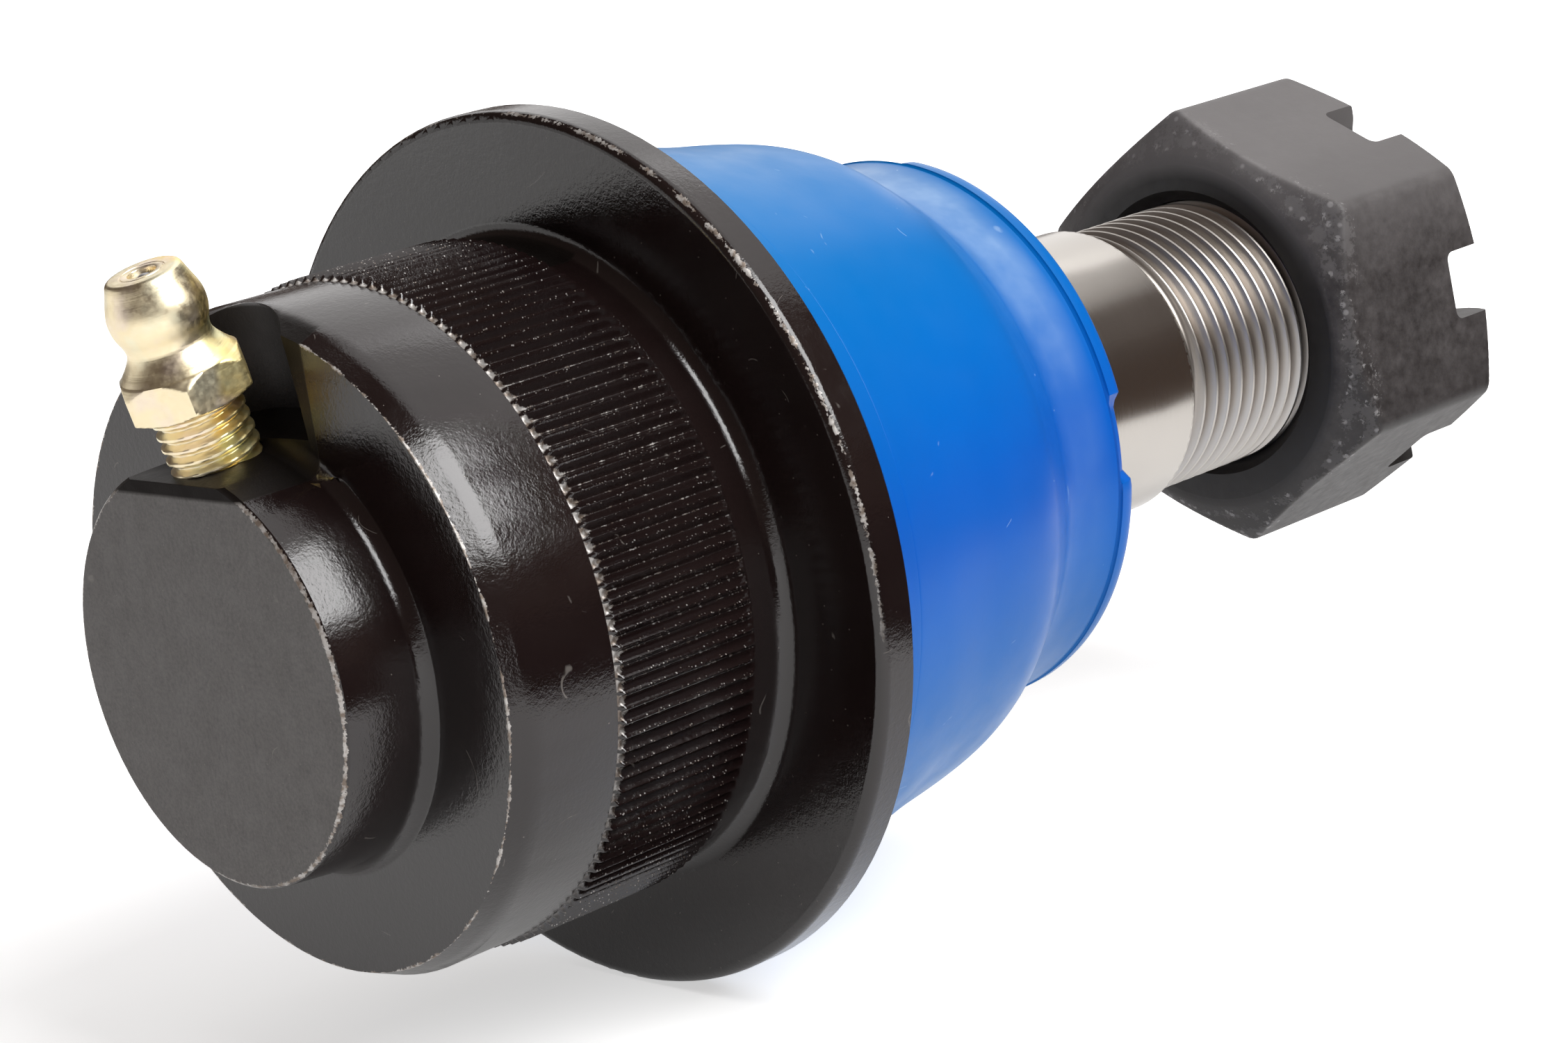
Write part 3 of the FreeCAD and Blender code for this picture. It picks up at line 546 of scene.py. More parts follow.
def calculated(tree, operation, *values, clamp=False):
    """The result of a Math node."""
    inputs = dict(enumerate(values))
    return add_node(tree, "ShaderNodeMath", inputs, operation=operation, use_clamp=clamp).outputs[0]


def plus(tree, first, second):
    return calculated(tree, "ADD", first, second)


def minus(tree, first, second):
    return calculated(tree, "SUBTRACT", first, second)


def times(tree, first, second, clamp=False):
    return calculated(tree, "MULTIPLY", first, second, clamp=clamp)


def larger(tree, first, second):
    return calculated(tree, "MAXIMUM", first, second)


def vector_math(tree, operation, *values):
    """The outputs of a Vector Math node."""
    inputs = dict(enumerate(values))
    return add_node(tree, "ShaderNodeVectorMath", inputs, operation=operation).outputs


def mapped(tree, value, low, high, to_low=0.0, to_high=1.0):
    """The value carried from low..high to to_low..to_high, held inside that range."""
    inputs = {"Value": value, "From Min": low, "From Max": high, "To Min": to_low, "To Max": to_high}
    return add_node(tree, "ShaderNodeMapRange", inputs, clamp=True).outputs["Result"]


def mixed(tree, share, first, second):
    """A colour between first and second."""
    inputs = {0: share, 6: first, 7: second}
    return add_node(tree, "ShaderNodeMix", inputs, data_type="RGBA").outputs[2]


def noise(tree, place, scale, detail=3.0, roughness=0.5):
    """Smooth noise from 0 to 1 around 0.5; scale is in features per millimetre."""
    inputs = {"Vector": place, "Scale": scale, "Detail": detail, "Roughness": roughness}
    return add_node(tree, "ShaderNodeTexNoise", inputs).outputs["Fac"]


def new_group(name, inputs, formula):
    """A node group whose outputs a formula works out from its inputs, as a dict of name and
    value. An input whose default is None is a vector, and so is the output Place."""
    group = bpy.data.node_groups.new(name, "ShaderNodeTree")
    for title, value in inputs.items():
        kind = "NodeSocketVector" if value is None else "NodeSocketFloat"
        socket = group.interface.new_socket(title, in_out="INPUT", socket_type=kind)
        if value is not None:
            socket.default_value = value
    outputs = formula(group, group.nodes.new("NodeGroupInput").outputs)
    for title in outputs:
        kind = "NodeSocketVector" if title == "Place" else "NodeSocketFloat"
        group.interface.new_socket(title, in_out="OUTPUT", socket_type=kind)
    add_node(group, "NodeGroupOutput", outputs)
    print("node group:", name, list(outputs))
    return group


def use_group(tree, group, **inputs):
    """The outputs of a group placed in a material; underscores stand for spaces in names."""
    named = {key.replace("_", " "): value for key, value in inputs.items()}
    return add_node(tree, "ShaderNodeGroup", named, node_tree=group).outputs


# %% Where a point lies on the joint
def joint_place(group, given):
    """Place in millimetres, with its height along the axis, its way across and up from the axis
    and its radius from it."""
    place = add_node(group, "ShaderNodeTexCoord").outputs["Object"]
    scaled = vector_math(group, "MULTIPLY", place, (1000, 1000, 1000))[0]
    flat = vector_math(group, "MULTIPLY", scaled, (0, 1, 1))[0]
    radius = vector_math(group, "LENGTH", flat)["Value"]
    x, y, z = add_node(group, "ShaderNodeSeparateXYZ", {0: scaled}).outputs
    return {"Place": scaled, "Height": x, "Across": y, "Up": z, "Radius": radius}


JOINT_PLACE = new_group("joint_place", {}, joint_place)


# %% Edges worn to bare metal
def worn_edge(group, given):
    """Mask of chips along an edge. The edge is where two gaps are both zero, and the mask is one
    where the distance sqrt(a^2 + b^2) is below a reach. Broad noise breaks the reach into patches
    and fine noise makes their outline jagged."""
    square_a = times(group, given["Gap A"], given["Gap A"])
    square_b = times(group, given["Gap B"], given["Gap B"])
    distance = calculated(group, "SQRT", plus(group, square_a, square_b))
    fine = noise(group, given["Place"], 4.0, 5.0, 0.7)
    jagged = times(group, minus(group, fine, 0.53), 3.4)
    broad = noise(group, given["Place"], 0.45, 3.0, 0.6)
    start = minus(group, 0.56, times(group, given["Wear"], 0.26))
    patches = mapped(group, broad, start, plus(group, start, 0.22))
    reach = times(group, plus(group, patches, jagged), given["Width"])
    reach = times(group, reach, calculated(group, "GREATER_THAN", patches, 0.01))
    return {"Mask": times(group, minus(group, reach, distance), 36.0, clamp=True)}


WORN_EDGE = new_group(
    "worn_edge", {"Place": None, "Gap A": 0.0, "Gap B": 0.0, "Width": 0.3, "Wear": 0.5}, worn_edge)


# %% Coating skin, specks, scratches and lathe lines
def coating_skin(group, given):
    """Height of the fine orange peel of a dipped coating, Size millimetres from bump to bump."""
    scale = calculated(group, "DIVIDE", 1.0, given["Size"])
    return {"Height": noise(group, given["Place"], scale, 3.0, 0.55)}


def specks(group, given):
    """Mask of small scattered specks: cells of a Voronoi pattern whose random value is low
    enough, filled within a small distance of the cell's point."""
    scale = calculated(group, "DIVIDE", 1.0, given["Spacing"])
    cells = add_node(group, "ShaderNodeTexVoronoi", {"Vector": given["Place"], "Scale": scale})
    random = add_node(group, "ShaderNodeSeparateColor", {0: cells.outputs["Color"]}).outputs[0]
    chosen = calculated(group, "LESS_THAN", random, given["Share"])
    size = calculated(group, "DIVIDE", given["Size"], given["Spacing"])
    near = mapped(group, cells.outputs["Distance"], size, times(group, size, 0.6))
    return {"Mask": times(group, near, chosen)}


def scratches(group, given):
    """Mask of thin wandering lines: where a broad noise is within Width of its middle value, kept
    only in patches of a second noise."""
    scale = calculated(group, "DIVIDE", 1.0, given["Spacing"])
    level = minus(group, noise(group, given["Place"], scale, 1.0), 0.5)
    level = calculated(group, "ABSOLUTE", level)
    reach = times(group, given["Width"], times(group, scale, 0.6))
    line = mapped(group, level, reach, times(group, reach, 0.4))
    start = minus(group, 0.72, times(group, given["Share"], 0.2))
    patch = noise(group, given["Place"], 0.35, 3.0)
    patch = mapped(group, patch, start, plus(group, start, 0.03))
    return {"Mask": times(group, line, patch)}


def lathe_lines(group, given):
    """Height of the fine rings that turning leaves: noise that changes along one axis only, so it
    is the same all the way round."""
    scale = calculated(group, "DIVIDE", 1.0, given["Spacing"])
    along = add_node(group, "ShaderNodeCombineXYZ", {0: given["Along"]}).outputs[0]
    return {"Lines": noise(group, along, scale, 2.0, 0.6)}


COATING_SKIN = new_group("coating_skin", {"Place": None, "Size": 0.4}, coating_skin)
SPECKS = new_group("specks", {"Place": None, "Spacing": 1.0, "Size": 0.1, "Share": 0.2}, specks)
SCRATCHES = new_group(
    "scratches", {"Place": None, "Spacing": 8.0, "Width": 0.1, "Share": 0.4}, scratches)
LATHE_LINES = new_group("lathe_lines", {"Along": 0.0, "Spacing": 0.1}, lathe_lines)

# %% [markdown]
# Every finish starts the same way: a Principled shader, and the place of each point on the joint.
# The small functions here put a shared effect into a material and give back its mask or height.

# %% From a shared effect to a material
def new_material(name, **constants):
    """A material's tree, its Principled node and the joint's place outputs. Constants are set on
    the Principled node's sockets, with underscores for spaces."""
    material = bpy.data.materials.new(name)
    material.use_nodes = True
    tree = material.node_tree
    shader = tree.nodes["Principled BSDF"]
    for key, value in constants.items():
        shader.inputs[key.replace("_", " ")].default_value = value
    print("finish:", name)
    return material, tree, shader, use_group(tree, JOINT_PLACE)


def effect(tree, group, place, **values):
    """The one output of a group that reads the place."""
    return use_group(tree, group, Place=place["Place"], **values)[0]


def layered(tree, base, *layers):
    """The base under layers, each a mask, the share of it that shows, and a colour."""
    for mask, share, colour in layers:
        base = mixed(tree, times(tree, mask, share), base, colour)
    return base


def feed(tree, shader, **values):
    """Links values to the shader's sockets, with underscores for spaces."""
    for key, value in values.items():
        tree.links.new(value, shader.inputs[key.replace("_", " ")])


def bump(tree, shader, height, strength, distance):
    """The shader's normal tilted by a height field; distance is in millimetres."""
    inputs = {"Height": height, "Strength": strength, "Distance": distance * MM}
    feed(tree, shader, Normal=add_node(tree, "ShaderNodeBump", inputs).outputs["Normal"])


def edge(tree, place, height, radius, width, wear):
    """Worn mask along the ring at a height and radius."""
    gap_a = minus(tree, place["Height"], height)
    gap_b = minus(tree, place["Radius"], radius)
    return effect(tree, WORN_EDGE, place, Gap_A=gap_a, Gap_B=gap_b, Width=width, Wear=wear)


# %% [markdown]
# The housing's coating is a thin black dip over steel: nearly black with a hint of brown and
# glossy, with a fine orange peel. The turned face of the boss is duller and grey with dust and
# grit, and the edges of boss, shoulder, serrations and flange are chipped down to steel. Colours
# are linear red, green, blue and opacity, so the black ones are far below a paint chart's values.

# %% Wear of the serrations, with painted shade towards the underside
WEDGE_START = 15.35
WEDGE_END = 16.5


def tooth_wear_and_shade(tree, place):
    """Mask of the bright wedge at the start of every groove and of sparkles along the crests. A
    wedge is where the distance to the groove's middle, in teeth, is below 0.42 at its start and
    below zero at its end. Its bare steel is wear, and its fading towards the underside is painted shade."""
    turn = calculated(tree, "ARCTAN2", place["Up"], place["Across"])
    tooth = calculated(tree, "FRACT", times(tree, turn, TEETH / (2 * np.pi)))
    aside = calculated(tree, "ABSOLUTE", minus(tree, tooth, 0.5))
    jagged = minus(tree, noise(tree, place["Place"], 2.6, 4.0, 0.7), 0.5)
    aside = plus(tree, aside, times(tree, jagged, 0.6))
    reach = mapped(tree, place["Height"], WEDGE_START, WEDGE_END, 0.42, 0.0)
    wedge = times(tree, minus(tree, reach, aside), 12.0, clamp=True)
    wedge = times(tree, wedge, mapped(tree, place["Height"], WEDGE_START - 0.11, WEDGE_START - 0.01))
    # Painted shade: the wedges fade towards the underside.
    wedge = times(tree, wedge, mapped(tree, place["Up"], -16.0, 0.0, 0.15, 0.9))
    crest = mapped(tree, place["Radius"], BAND_RADIUS - 0.2, BAND_RADIUS - 0.06)
    sparkles = effect(tree, SPECKS, place, Spacing=0.24, Size=0.075, Share=0.6)
    sparkles = times(tree, times(tree, crest, sparkles), 0.7)
    return larger(tree, wedge, sparkles)


# %% Dusty face, painted shade in the pocket and worn edges of the housing
FACE_DARK, FACE_GREY = (0.040, 0.036, 0.034, 1), (0.075, 0.069, 0.066, 1)
FACE_PIT, FACE_GRIT = (0.012, 0.010, 0.009, 1), (0.135, 0.122, 0.115, 1)
POCKET_HALF = 7.25


def face_colour(tree, place):
    """Grey in soft clouds, with a few dark pits and fine light grit."""
    clouds = mapped(tree, noise(tree, place["Place"], 0.9, 5.0, 0.65), 0.3, 0.7)
    base = mixed(tree, clouds, FACE_DARK, FACE_GREY)
    pits = effect(tree, SPECKS, place, Spacing=2.6, Size=0.16, Share=0.2)
    grit = mapped(tree, noise(tree, place["Place"], 3.5, 3.0, 0.7), 0.35, 0.65)
    return layered(tree, base, (pits, 1.0, FACE_PIT), (grit, 0.5, FACE_GRIT))


def pocket_shade_mask(tree, place):
    """One inside the milled pocket, where shade is painted: above its floor, between its walls and under
    the pilot.
    """
    across = calculated(tree, "ABSOLUTE", place["Across"])
    above = mapped(tree, place["Up"], POCKET_FLOOR, POCKET_FLOOR + 0.3)
    between = mapped(tree, across, POCKET_HALF + 0.2, POCKET_HALF)
    under = mapped(tree, place["Radius"], PILOT_RADIUS - 0.1, PILOT_RADIUS - 0.3)
    return times(tree, times(tree, above, between), under)


def worn_rings(tree, place, rings):
    """The largest of the masks of several rings. A ring is the Z above which its wear shows,
    softened over 5 mm either way, and then its height, radius, width and wear."""
    worn = 0.0
    for low, *values in rings:
        shown = mapped(tree, place["Up"], low - 5, low + 5)
        worn = larger(tree, worn, times(tree, edge(tree, place, *values), shown))
    return worn


# %% Black coating
COAT_DARK, COAT_BROWN = (0.0070, 0.0035, 0.0035, 1), (0.0125, 0.0075, 0.0070, 1)
COAT_DUST, COAT_SCRATCH = (0.22, 0.20, 0.18, 1), (0.26, 0.24, 0.22, 1)
BARE_STEEL, STAINED_STEEL = (0.52, 0.50, 0.48, 1), (0.20, 0.16, 0.13, 1)
# Painted shade: near black for the inside of the milled pocket.
POCKET_PAINTED_SHADE = (0.010, 0.007, 0.006, 1)


def coated_steel(name, rings, teeth=False):
    """The coating with chips along rings, along the serrations where teeth is true, and painted shade in
    the milled pocket.
    """
    material, tree, shader, place = new_material(name, IOR=1.6)
    spot = place["Place"]
    base = mixed(tree, mapped(tree, noise(tree, spot, 0.05, 4.0), 0.35, 0.65), COAT_DARK, COAT_BROWN)
    face = mapped(tree, place["Height"], 0.12, 0.02)
    dust = effect(tree, SPECKS, place, Spacing=0.8, Size=0.06, Share=0.16)
    lines = effect(tree, SCRATCHES, place, Spacing=6.0, Width=0.05, Share=0.42)
    stained = mapped(tree, noise(tree, spot, 1.6, 3.0), 0.42, 0.6)
    bare = mixed(tree, stained, BARE_STEEL, STAINED_STEEL)
    worn = worn_rings(tree, place, rings)
    if teeth:
        worn = larger(tree, worn, tooth_wear_and_shade(tree, place))
    # The pocket gets painted shade: near black, rougher and partly metallic.
    pocket = pocket_shade_mask(tree, place)
    base = layered(
        tree, base, (face, 1.0, face_colour(tree, place)), (dust, 0.6, COAT_DUST),
        (lines, 0.35, COAT_SCRATCH), (worn, 1.0, bare), (pocket, 1.0, POCKET_PAINTED_SHADE))
    roughness = mapped(tree, noise(tree, spot, 0.4, 3.0), 0.3, 0.7, 0.10, 0.18)
    roughness = plus(tree, roughness, times(tree, pocket, 0.3))
    roughness = plus(tree, roughness, times(tree, face, 0.36))
    roughness = larger(tree, roughness, times(tree, worn, 0.5))
    metal = larger(tree, times(tree, worn, 0.6), times(tree, pocket, 0.7))
    feed(tree, shader, Base_Color=base, Roughness=roughness, Metallic=metal)
    skin = effect(tree, COATING_SKIN, place, Size=0.45)
    grain = effect(tree, COATING_SKIN, place, Size=0.16)
    bump(tree, shader, plus(tree, skin, times(tree, grain, 0.6)), 0.45, 0.04)
    return material


EVERYWHERE = -60
housing_rings = [
    (EVERYWHERE, 0.10, BOSS_RADIUS - 0.20, 0.20, 1.0),
    (EVERYWHERE, BOSS_HEIGHT + 0.02, SHOULDER_RADIUS, 0.16, 0.7),
    (0, FLANGE_SEAT + 0.3, FLANGE_RADIUS - 0.1, 0.26, 0.6),
    (0, FLANGE_BACK, FLANGE_RADIUS, 0.2, 0.4)]
black_coat = coated_steel("black_coat", housing_rings)
serration_coat = coated_steel("serration_coat", [], teeth=True)

# %% [markdown]
# The boot is blue plastic with a satin moulded skin, with painted light that turns it greener away
# from the middle. Its valley beside the collar carries a painted highlight on top, and handling has
# left a few fine light scratches and specks.

# %% Blue plastic
# Painted light: the greener third colour. Painted highlight: the first colour on the next line.
BOOT_DEEP, BOOT_BRIGHT, BOOT_PAINTED_LIGHT = (0.0, 0.078, 0.40, 1), (0.0, 0.095, 0.46, 1), (0.0, 0.165, 0.45, 1)
BOOT_PAINTED_HIGHLIGHT, BOOT_SCRATCH, BOOT_DUST = (0.32, 0.46, 0.66, 1), (0.35, 0.5, 0.7, 1), (0.5, 0.6, 0.75, 1)


def blue_plastic():
    material, tree, shader, place = new_material("blue_plastic", Specular_IOR_Level=0.2)
    spot = place["Place"]
    base = mixed(tree, mapped(tree, noise(tree, spot, 0.06, 3.0), 0.3, 0.7), BOOT_DEEP, BOOT_BRIGHT)
    # Painted light: greener towards the top and bottom, away from the middle height.
    painted_light = calculated(tree, "ABSOLUTE", minus(tree, place["Up"], 1.0))
    painted_light = mapped(tree, painted_light, 2.0, 25.0)
    # Painted highlight: a pale cloudy band along the valley, strongest on top.
    valley = mapped(tree, place["Height"], 61.0, 63.0)
    valley = times(tree, valley, mapped(tree, place["Height"], 66.9, 65.0))
    valley = times(tree, valley, mapped(tree, place["Up"], 5.0, 19.0, 0.10, 0.85))
    cloudy = mapped(tree, noise(tree, spot, 0.12, 4.0, 0.6), 0.35, 0.65, 0.4, 1.0)
    painted_highlight = times(tree, valley, cloudy)
    lines = effect(tree, SCRATCHES, place, Spacing=9.0, Width=0.06, Share=0.45)
    dust = effect(tree, SPECKS, place, Spacing=2.2, Size=0.1, Share=0.14)
    base = layered(tree, base, (painted_light, 1.0, BOOT_PAINTED_LIGHT), (painted_highlight, 1.0, BOOT_PAINTED_HIGHLIGHT),
                   (lines, 0.35, BOOT_SCRATCH), (dust, 0.5, BOOT_DUST))
    roughness = mapped(tree, noise(tree, spot, 0.3, 4.0), 0.3, 0.7, 0.28, 0.38)
    feed(tree, shader, Base_Color=base, Roughness=roughness)
    bump(tree, shader, effect(tree, COATING_SKIN, place, Size=0.5), 0.12, 0.03)
    return material


boot_blue = blue_plastic()

# %% [markdown]
# The shank is polished and plated, so it mirrors the studio in long bands. Fine rings from
# turning break the reflection a little. The thread is the same steel, but rougher, and brown with
# grime in its roots.

# %% Plated steel
PLATE_DARK, PLATE_LIGHT = (0.45, 0.425, 0.40, 1), (0.56, 0.53, 0.49, 1)
GRIME = (0.16, 0.115, 0.09, 1)


def plated_steel(name, roughness_low, roughness_high, grime=0.0):
    """Grime is the share of brown that darkens the roots of the thread."""
    material, tree, shader, place = new_material(name, Metallic=1.0)
    base = mixed(tree, noise(tree, place["Place"], 0.08, 3.0), PLATE_DARK, PLATE_LIGHT)
    root = mapped(tree, place["Radius"], THREAD_RADIUS - 0.2, THREAD_RADIUS - 0.8, 0.0, grime)
    lines = use_group(tree, LATHE_LINES, Along=place["Height"], Spacing=0.12)[0]
    roughness = mapped(tree, lines, 0.3, 0.7, roughness_low, roughness_high)
    feed(tree, shader, Base_Color=mixed(tree, root, base, GRIME), Roughness=roughness)
    bump(tree, shader, lines, 0.10, 0.01)
    return material


shank_finish = plated_steel("plated_steel", 0.16, 0.26)
thread_finish = plated_steel("thread_steel", 0.30, 0.42, grime=0.55)

# %% [markdown]
# The nut is forged and phosphated: dark, dull and mottled, with dust on its top faces, a darker
# underside and a black bore. Flecks of the phosphate are rubbed pale along the chamfers.

# %% Dark phosphate
NUT_DARK, NUT_GREY = (0.020, 0.017, 0.017, 1), (0.062, 0.056, 0.056, 1)
# Painted shade for the face round the bore and the underside; next line, painted light for the top faces
# and the rubbed pale of the chamfers.
NUT_FACE_PAINTED_SHADE, NUT_SHADE = (0.008, 0.007, 0.007, 1), (0.012, 0.010, 0.010, 1)
NUT_TOP_PAINTED_LIGHT, NUT_RUBBED = (0.17, 0.16, 0.16, 1), (0.30, 0.29, 0.29, 1)


def dark_phosphate():
    material, tree, shader, place = new_material("dark_phosphate", Specular_IOR_Level=0.4)
    height, radius, up = place["Height"], place["Radius"], place["Up"]
    mottle = noise(tree, place["Place"], 0.9, 6.0, 0.7)
    cloudy = noise(tree, place["Place"], 0.14, 4.0, 0.6)
    tone = plus(tree, times(tree, mottle, 0.6), times(tree, cloudy, 0.4))
    base = mixed(tree, mapped(tree, tone, 0.36, 0.64), NUT_DARK, NUT_GREY)
    # Painted shade: near black on the face round the bore and in the bore's mouth.
    inside = mapped(tree, radius, NUT_FACE_LOW + 0.1, NUT_FACE_LOW - 0.3)
    inside = times(tree, inside, mapped(tree, height, NUT_START + 1.0, NUT_START + 0.2))
    # Painted light: paler towards the top faces.
    painted_light_top = times(tree, mapped(tree, up, 4.0, 14.0), mapped(tree, radius, 13.0, 14.2))
    # Painted shade: darker towards the underside.
    under = mapped(tree, up, -3.0, -13.0)
    cone_top = NUT_START + NUT_CHAMFER * (NUT_FLAT - NUT_FACE_LOW) / (NUT_CORNER - NUT_FACE_LOW)
    worn = edge(tree, place, cone_top, NUT_FLAT - 0.2, 1.1, 0.6)
    worn = larger(tree, worn, edge(tree, place, NUT_START + 1.9, NUT_CORNER - 0.9, 1.3, 0.8))
    flecks = effect(tree, SPECKS, place, Spacing=0.7, Size=0.3, Share=0.4)
    worn = times(tree, worn, plus(tree, 0.12, times(tree, flecks, 0.5)))
    base = layered(tree, base, (inside, 0.85, NUT_FACE_PAINTED_SHADE), (painted_light_top, 0.6, NUT_TOP_PAINTED_LIGHT),
                   (under, 0.7, NUT_SHADE), (worn, 1.0, NUT_RUBBED))
    feed(tree, shader, Base_Color=base, Roughness=mapped(tree, mottle, 0.3, 0.7, 0.42, 0.56))
    bump(tree, shader, plus(tree, mottle, cloudy), 0.4, 0.06)
    return material


nut_finish = dark_phosphate()

# %% [markdown]
# The nipple is zinc plated and passivated yellow, a film that shifts from straw to gold and pink
# in soft clouds. On the head it has been rubbed to a paler zinc.

# %% Yellow zinc, and plain finishes for the pieces inside
ZINC_STRAW, ZINC_GOLD = (0.92, 0.86, 0.50, 1), (1.0, 0.80, 0.36, 1)
ZINC_PINK, ZINC_PALE = (0.95, 0.74, 0.52, 1), (0.88, 0.83, 0.72, 1)


def zinc_colour(name):
    material, tree, shader, place = new_material(name, Metallic=1.0)
    tint = noise(tree, place["Place"], 0.3, 3.0)
    base = mixed(tree, mapped(tree, tint, 0.38, 0.5), ZINC_STRAW, ZINC_GOLD)
    pinkish = mapped(tree, tint, 0.54, 0.66)
    head = mapped(tree, place["Height"], 2.6, 2.0)
    base = layered(tree, base, (pinkish, 1.0, ZINC_PINK), (head, 0.55, ZINC_PALE))
    mottle = noise(tree, place["Place"], 2.2, 4.0, 0.6)
    feed(tree, shader, Base_Color=base, Roughness=mapped(tree, mottle, 0.3, 0.7, 0.28, 0.46))
    along = vector_math(tree, "DOT_PRODUCT", place["Place"], tuple(NIPPLE_AXIS))["Value"]
    lines = use_group(tree, LATHE_LINES, Along=along, Spacing=0.10)[0]
    bump(tree, shader, plus(tree, lines, times(tree, mottle, 0.5)), 0.5, 0.02)
    return material


def plain_finish(name, colour, metallic, roughness):
    """A colour that noise darkens by up to a fifth."""
    material, tree, shader, place = new_material(name, Metallic=metallic)
    tone = noise(tree, place["Place"], 0.5, 4.0)
    darker = tuple(0.8 * part for part in colour[:3]) + (1,)
    feed(tree, shader, Base_Color=mixed(tree, tone, darker, colour),
         Roughness=mapped(tree, tone, 0.3, 0.7, roughness, roughness + 0.1))
    bump(tree, shader, tone, 0.1, 0.02)
    return material


zinc_finish = zinc_colour("yellow_zinc")
spring_finish = plain_finish("spring_steel", (0.45, 0.45, 0.46, 1), 1.0, 0.35)
seat_finish = plain_finish("bearing_polymer", (0.8, 0.78, 0.7, 1), 0.0, 0.45)

# %% [markdown]
# Every new piece says which body it rides on, which imported node it replaces and which material
# slot it fills. The boot and the check spring ride on no body.

# %% Dress the pieces and tie them to their bodies
def dress(piece, material, body, node=None):
    """Gives a piece its material, ties it to its body where one is given, and hides the imported
    node that it replaces where one is given."""
    piece.data.materials.clear()
    piece.data.materials.append(material)
    if body:
        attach(piece, body)
    if node:
        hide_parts(node)


dress(housing_shell, black_coat, "housing", "housing")
dress(serrated_band, serration_coat, "housing")
dress(stud_body, shank_finish, "stud", "ball_stud")
dress(stud_thread, thread_finish, "stud")
dress(nut_body, nut_finish, "nut", "castle_nut")
dress(nipple_body, zinc_finish, "housing", "grease_fitting_body")
dress(boot_shell, boot_blue, None, "dust_boot")
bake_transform(boot_shell)

steel_nodes = ["preload_spring", "spring_plate", "retaining_ring", "boot_base_ring",
               "boot_neck_ring", "grease_check_ball"]
seat_nodes = ["pressure_seat", "upper_bearing"]
for node in steel_nodes + seat_nodes:
    dress(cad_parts[node], spring_finish if node in steel_nodes else seat_finish, None)
print("packed meshes that keep their shape:", len(steel_nodes + seat_nodes))


def make_check_spring():
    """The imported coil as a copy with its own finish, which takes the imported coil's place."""
    points, triangles = packed_triangles("grease_check_spring")
    spring = mesh_object("check_spring", points, triangles=triangles, sharp=60)
    dress(spring, spring_finish, None, "grease_check_spring")
    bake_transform(spring)


make_check_spring()

# %% [markdown]
# The joint rests on its flange in a small studio. The pale floor fills the background: near the
# joint it glows about half, so that the joint's shadow stays on it, and further out it glows
# plain white for the camera. Mirrors see half of that glow. Two dark cards on the camera's right
# are seen only in reflections, and give steel and coating their dark bands.

# %% Floor and cards
FLOOR = -FLANGE_RADIUS
DARK_ROOM = (0.06, 0.045, 0.038, 1)


def stage_plane(name, corners, colour):
    """A flat stage piece from four corners in millimetres, with its tree and its shader."""
    plane = mesh_object(name, np.array(corners, float), [[0, 1, 2, 3]])
    material, tree, shader, _ = new_material(
        name, Base_Color=colour, Roughness=0.9, Specular_IOR_Level=0.1)
    plane.data.materials.append(material)
    return plane, tree, shader


def make_floor(reach=6000):
    """A square of 12 m whose glow grows with the distance from under the joint."""
    near, far = -reach, reach
    corners = [(near, near, FLOOR), (far, near, FLOOR), (far, far, FLOOR), (near, far, FLOOR)]
    _, tree, shader = stage_plane("floor", corners, (0.85, 0.85, 0.85, 1))
    place = add_node(tree, "ShaderNodeTexCoord").outputs["Object"]
    distance = vector_math(tree, "DISTANCE", place, (0.06, 0.0, FLOOR * MM))["Value"]
    glow = mapped(tree, distance, 0.10, 0.45, 0.55, 1.0)
    path = add_node(tree, "ShaderNodeLightPath").outputs
    seen = larger(tree, path["Is Camera Ray"], times(tree, path["Is Glossy Ray"], 0.5))
    seen = larger(tree, seen, path["Is Transmission Ray"])
    tree.links.new(times(tree, glow, seen), shader.inputs["Emission Strength"])
    shader.inputs["Emission Color"].default_value = (1, 1, 1, 1)


def make_card(name, start, end, lift, top, colour):
    """An upright card over the line from start to end, from just above the floor to its top."""
    low = FLOOR + lift
    corners = [(*start, low), (*end, low), (*end, top), (*start, top)]
    card, _, _ = stage_plane(name, corners, colour)
    card.visible_camera = card.visible_diffuse = card.visible_shadow = False


make_floor()
make_card("side_card", (30, -172), (240, 50), 2, 30, (0.15, 0.105, 0.08, 1))
make_card("low_card", (-10, -118), (96, -62), 1, 5, (0.02, 0.017, 0.015, 1))

# %% [markdown]
# Black gloss shows only what it mirrors, so a few large softboxes draw the long bands of light.
# The key stands above on the camera's right, a large dim one hangs overhead, one stands beyond
# the joint and one on the left lights the far edge of the flange. The world is a dark brown
# room, so that the coating stays black.

# %% Lamps and world
JOINT_MIDDLE = Vector((0.05, 0, 0))


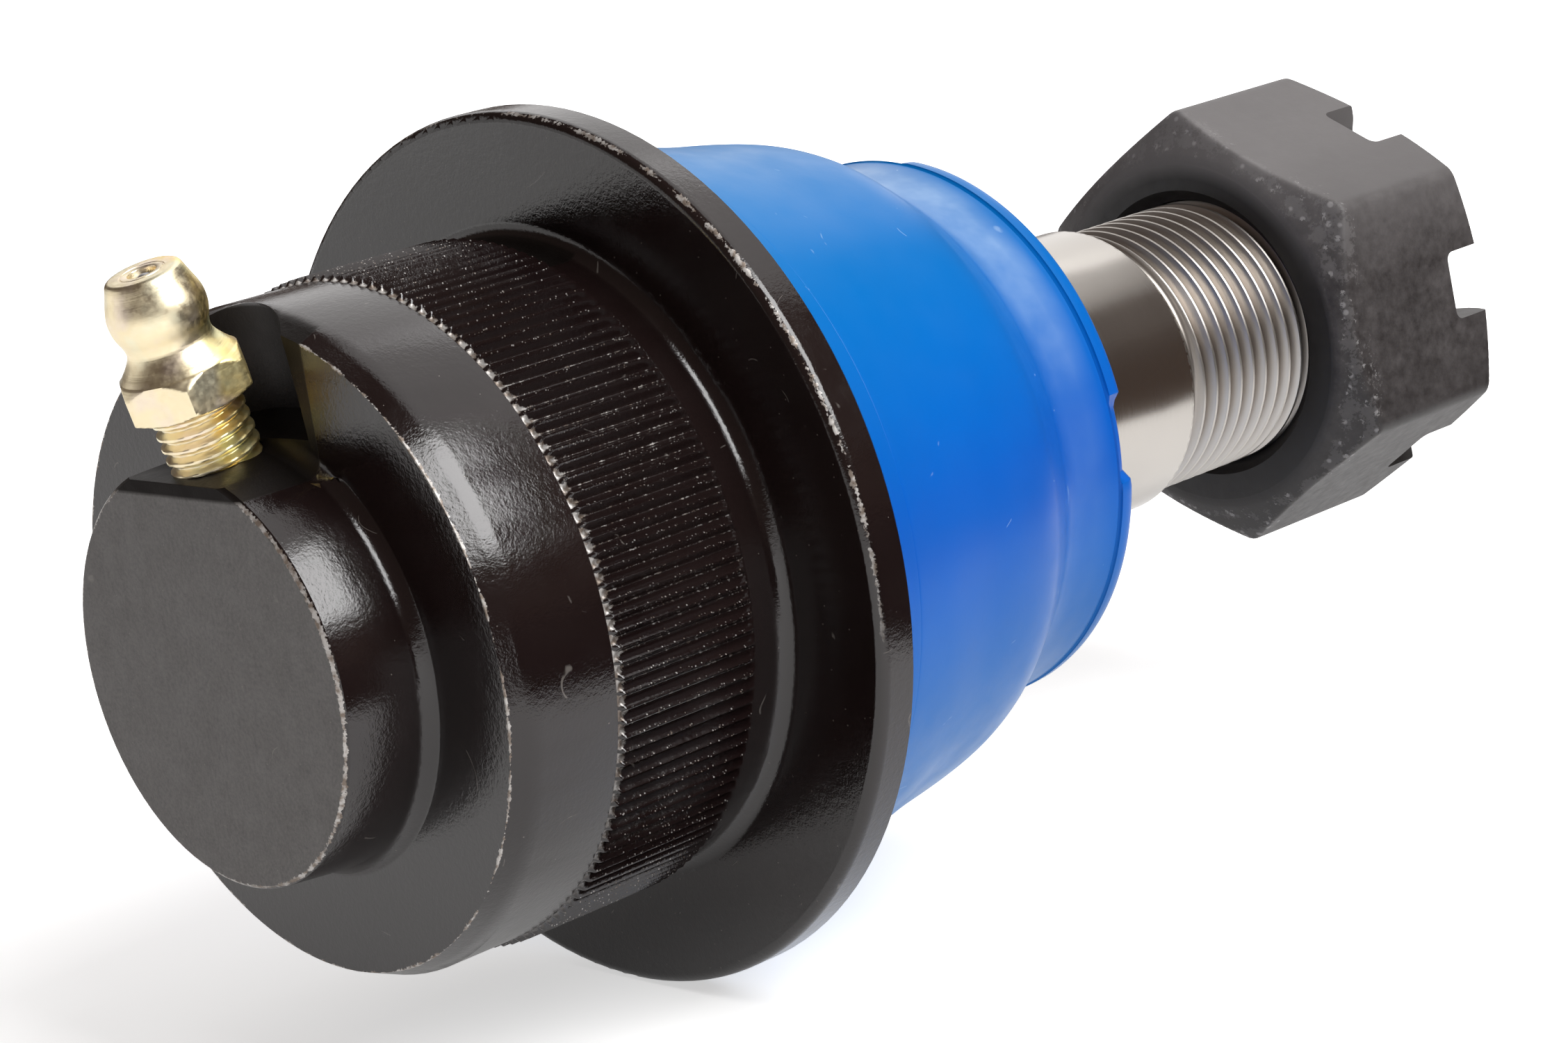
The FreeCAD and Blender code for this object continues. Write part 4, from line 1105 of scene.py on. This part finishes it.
def softbox(name, direction, distance, length, width, power):
    """An oblong lamp in metres, at a distance from the joint's middle, that faces it. Its length
    runs as far along X as the direction lets it."""
    lamp = bpy.data.objects.new(name, bpy.data.lights.new(name, "AREA"))
    bpy.context.scene.collection.objects.link(lamp)
    lamp.data.shape = "RECTANGLE"
    lamp.data.size = length
    lamp.data.size_y = width
    lamp.data.energy = power
    toward = Vector(direction).normalized()
    across = toward.cross(Vector((1, 0, 0))).normalized()
    turned = Matrix((across.cross(toward), across, toward)).transposed().to_4x4()
    lamp.matrix_world = Matrix.Translation(JOINT_MIDDLE + toward * distance) @ turned
    print("lamp:", name, power, "W")


softbox("key", (0.12, -0.72, 0.68), 0.75, 0.54, 0.52, 7.4)
softbox("overhead", (0.45, -0.05, 0.89), 0.9, 0.7, 0.7, 1.6)
softbox("backdrop", (0.62, 0.56, 0.55), 0.9, 0.8, 0.8, 2.4)
softbox("left", (-0.62, 0.78, 0.02), 0.8, 0.8, 0.6, 1.1)

world = bpy.data.worlds.new("studio")
bpy.context.scene.world = world
world.use_nodes = True
background = world.node_tree.nodes["Background"].inputs
background["Color"].default_value = DARK_ROOM
background["Strength"].default_value = 1.5

# %% [markdown]
# The camera's place, roll and lens were fitted to circles measured in the photo: the edges of
# boss, shoulder and flange, the thread's start and the nut's face.

# %% Camera
CAMERA_TARGET = Vector((0.0491, -0.0042, -0.0019))
CAMERA_DISTANCE = 0.3002
CAMERA_AZIMUTH = np.radians(41.53)
CAMERA_DOWN = np.radians(12.99)
CAMERA_ROLL = np.radians(8.59)
LENS = 93.27
SENSOR_WIDTH = 36


def make_camera():
    """Looks along an azimuth from +Y towards +X and down, then rolls about its own line of sight."""
    look = Vector((np.sin(CAMERA_AZIMUTH) * np.cos(CAMERA_DOWN),
                   np.cos(CAMERA_AZIMUTH) * np.cos(CAMERA_DOWN), -np.sin(CAMERA_DOWN)))
    level = look.cross(Vector((0, 0, 1))).normalized()
    up = level.cross(look)
    right = level * np.cos(CAMERA_ROLL) - up * np.sin(CAMERA_ROLL)
    up = right.cross(look)
    camera = bpy.data.objects.new("camera", bpy.data.cameras.new("camera"))
    bpy.context.scene.collection.objects.link(camera)
    camera.data.lens = LENS
    camera.data.sensor_width = SENSOR_WIDTH
    turned = Matrix((right, up, -look)).transposed().to_4x4()
    camera.matrix_world = Matrix.Translation(CAMERA_TARGET - CAMERA_DISTANCE * look) @ turned
    bpy.context.scene.camera = camera


make_camera()
bpy.context.scene.view_settings.view_transform = "Standard"
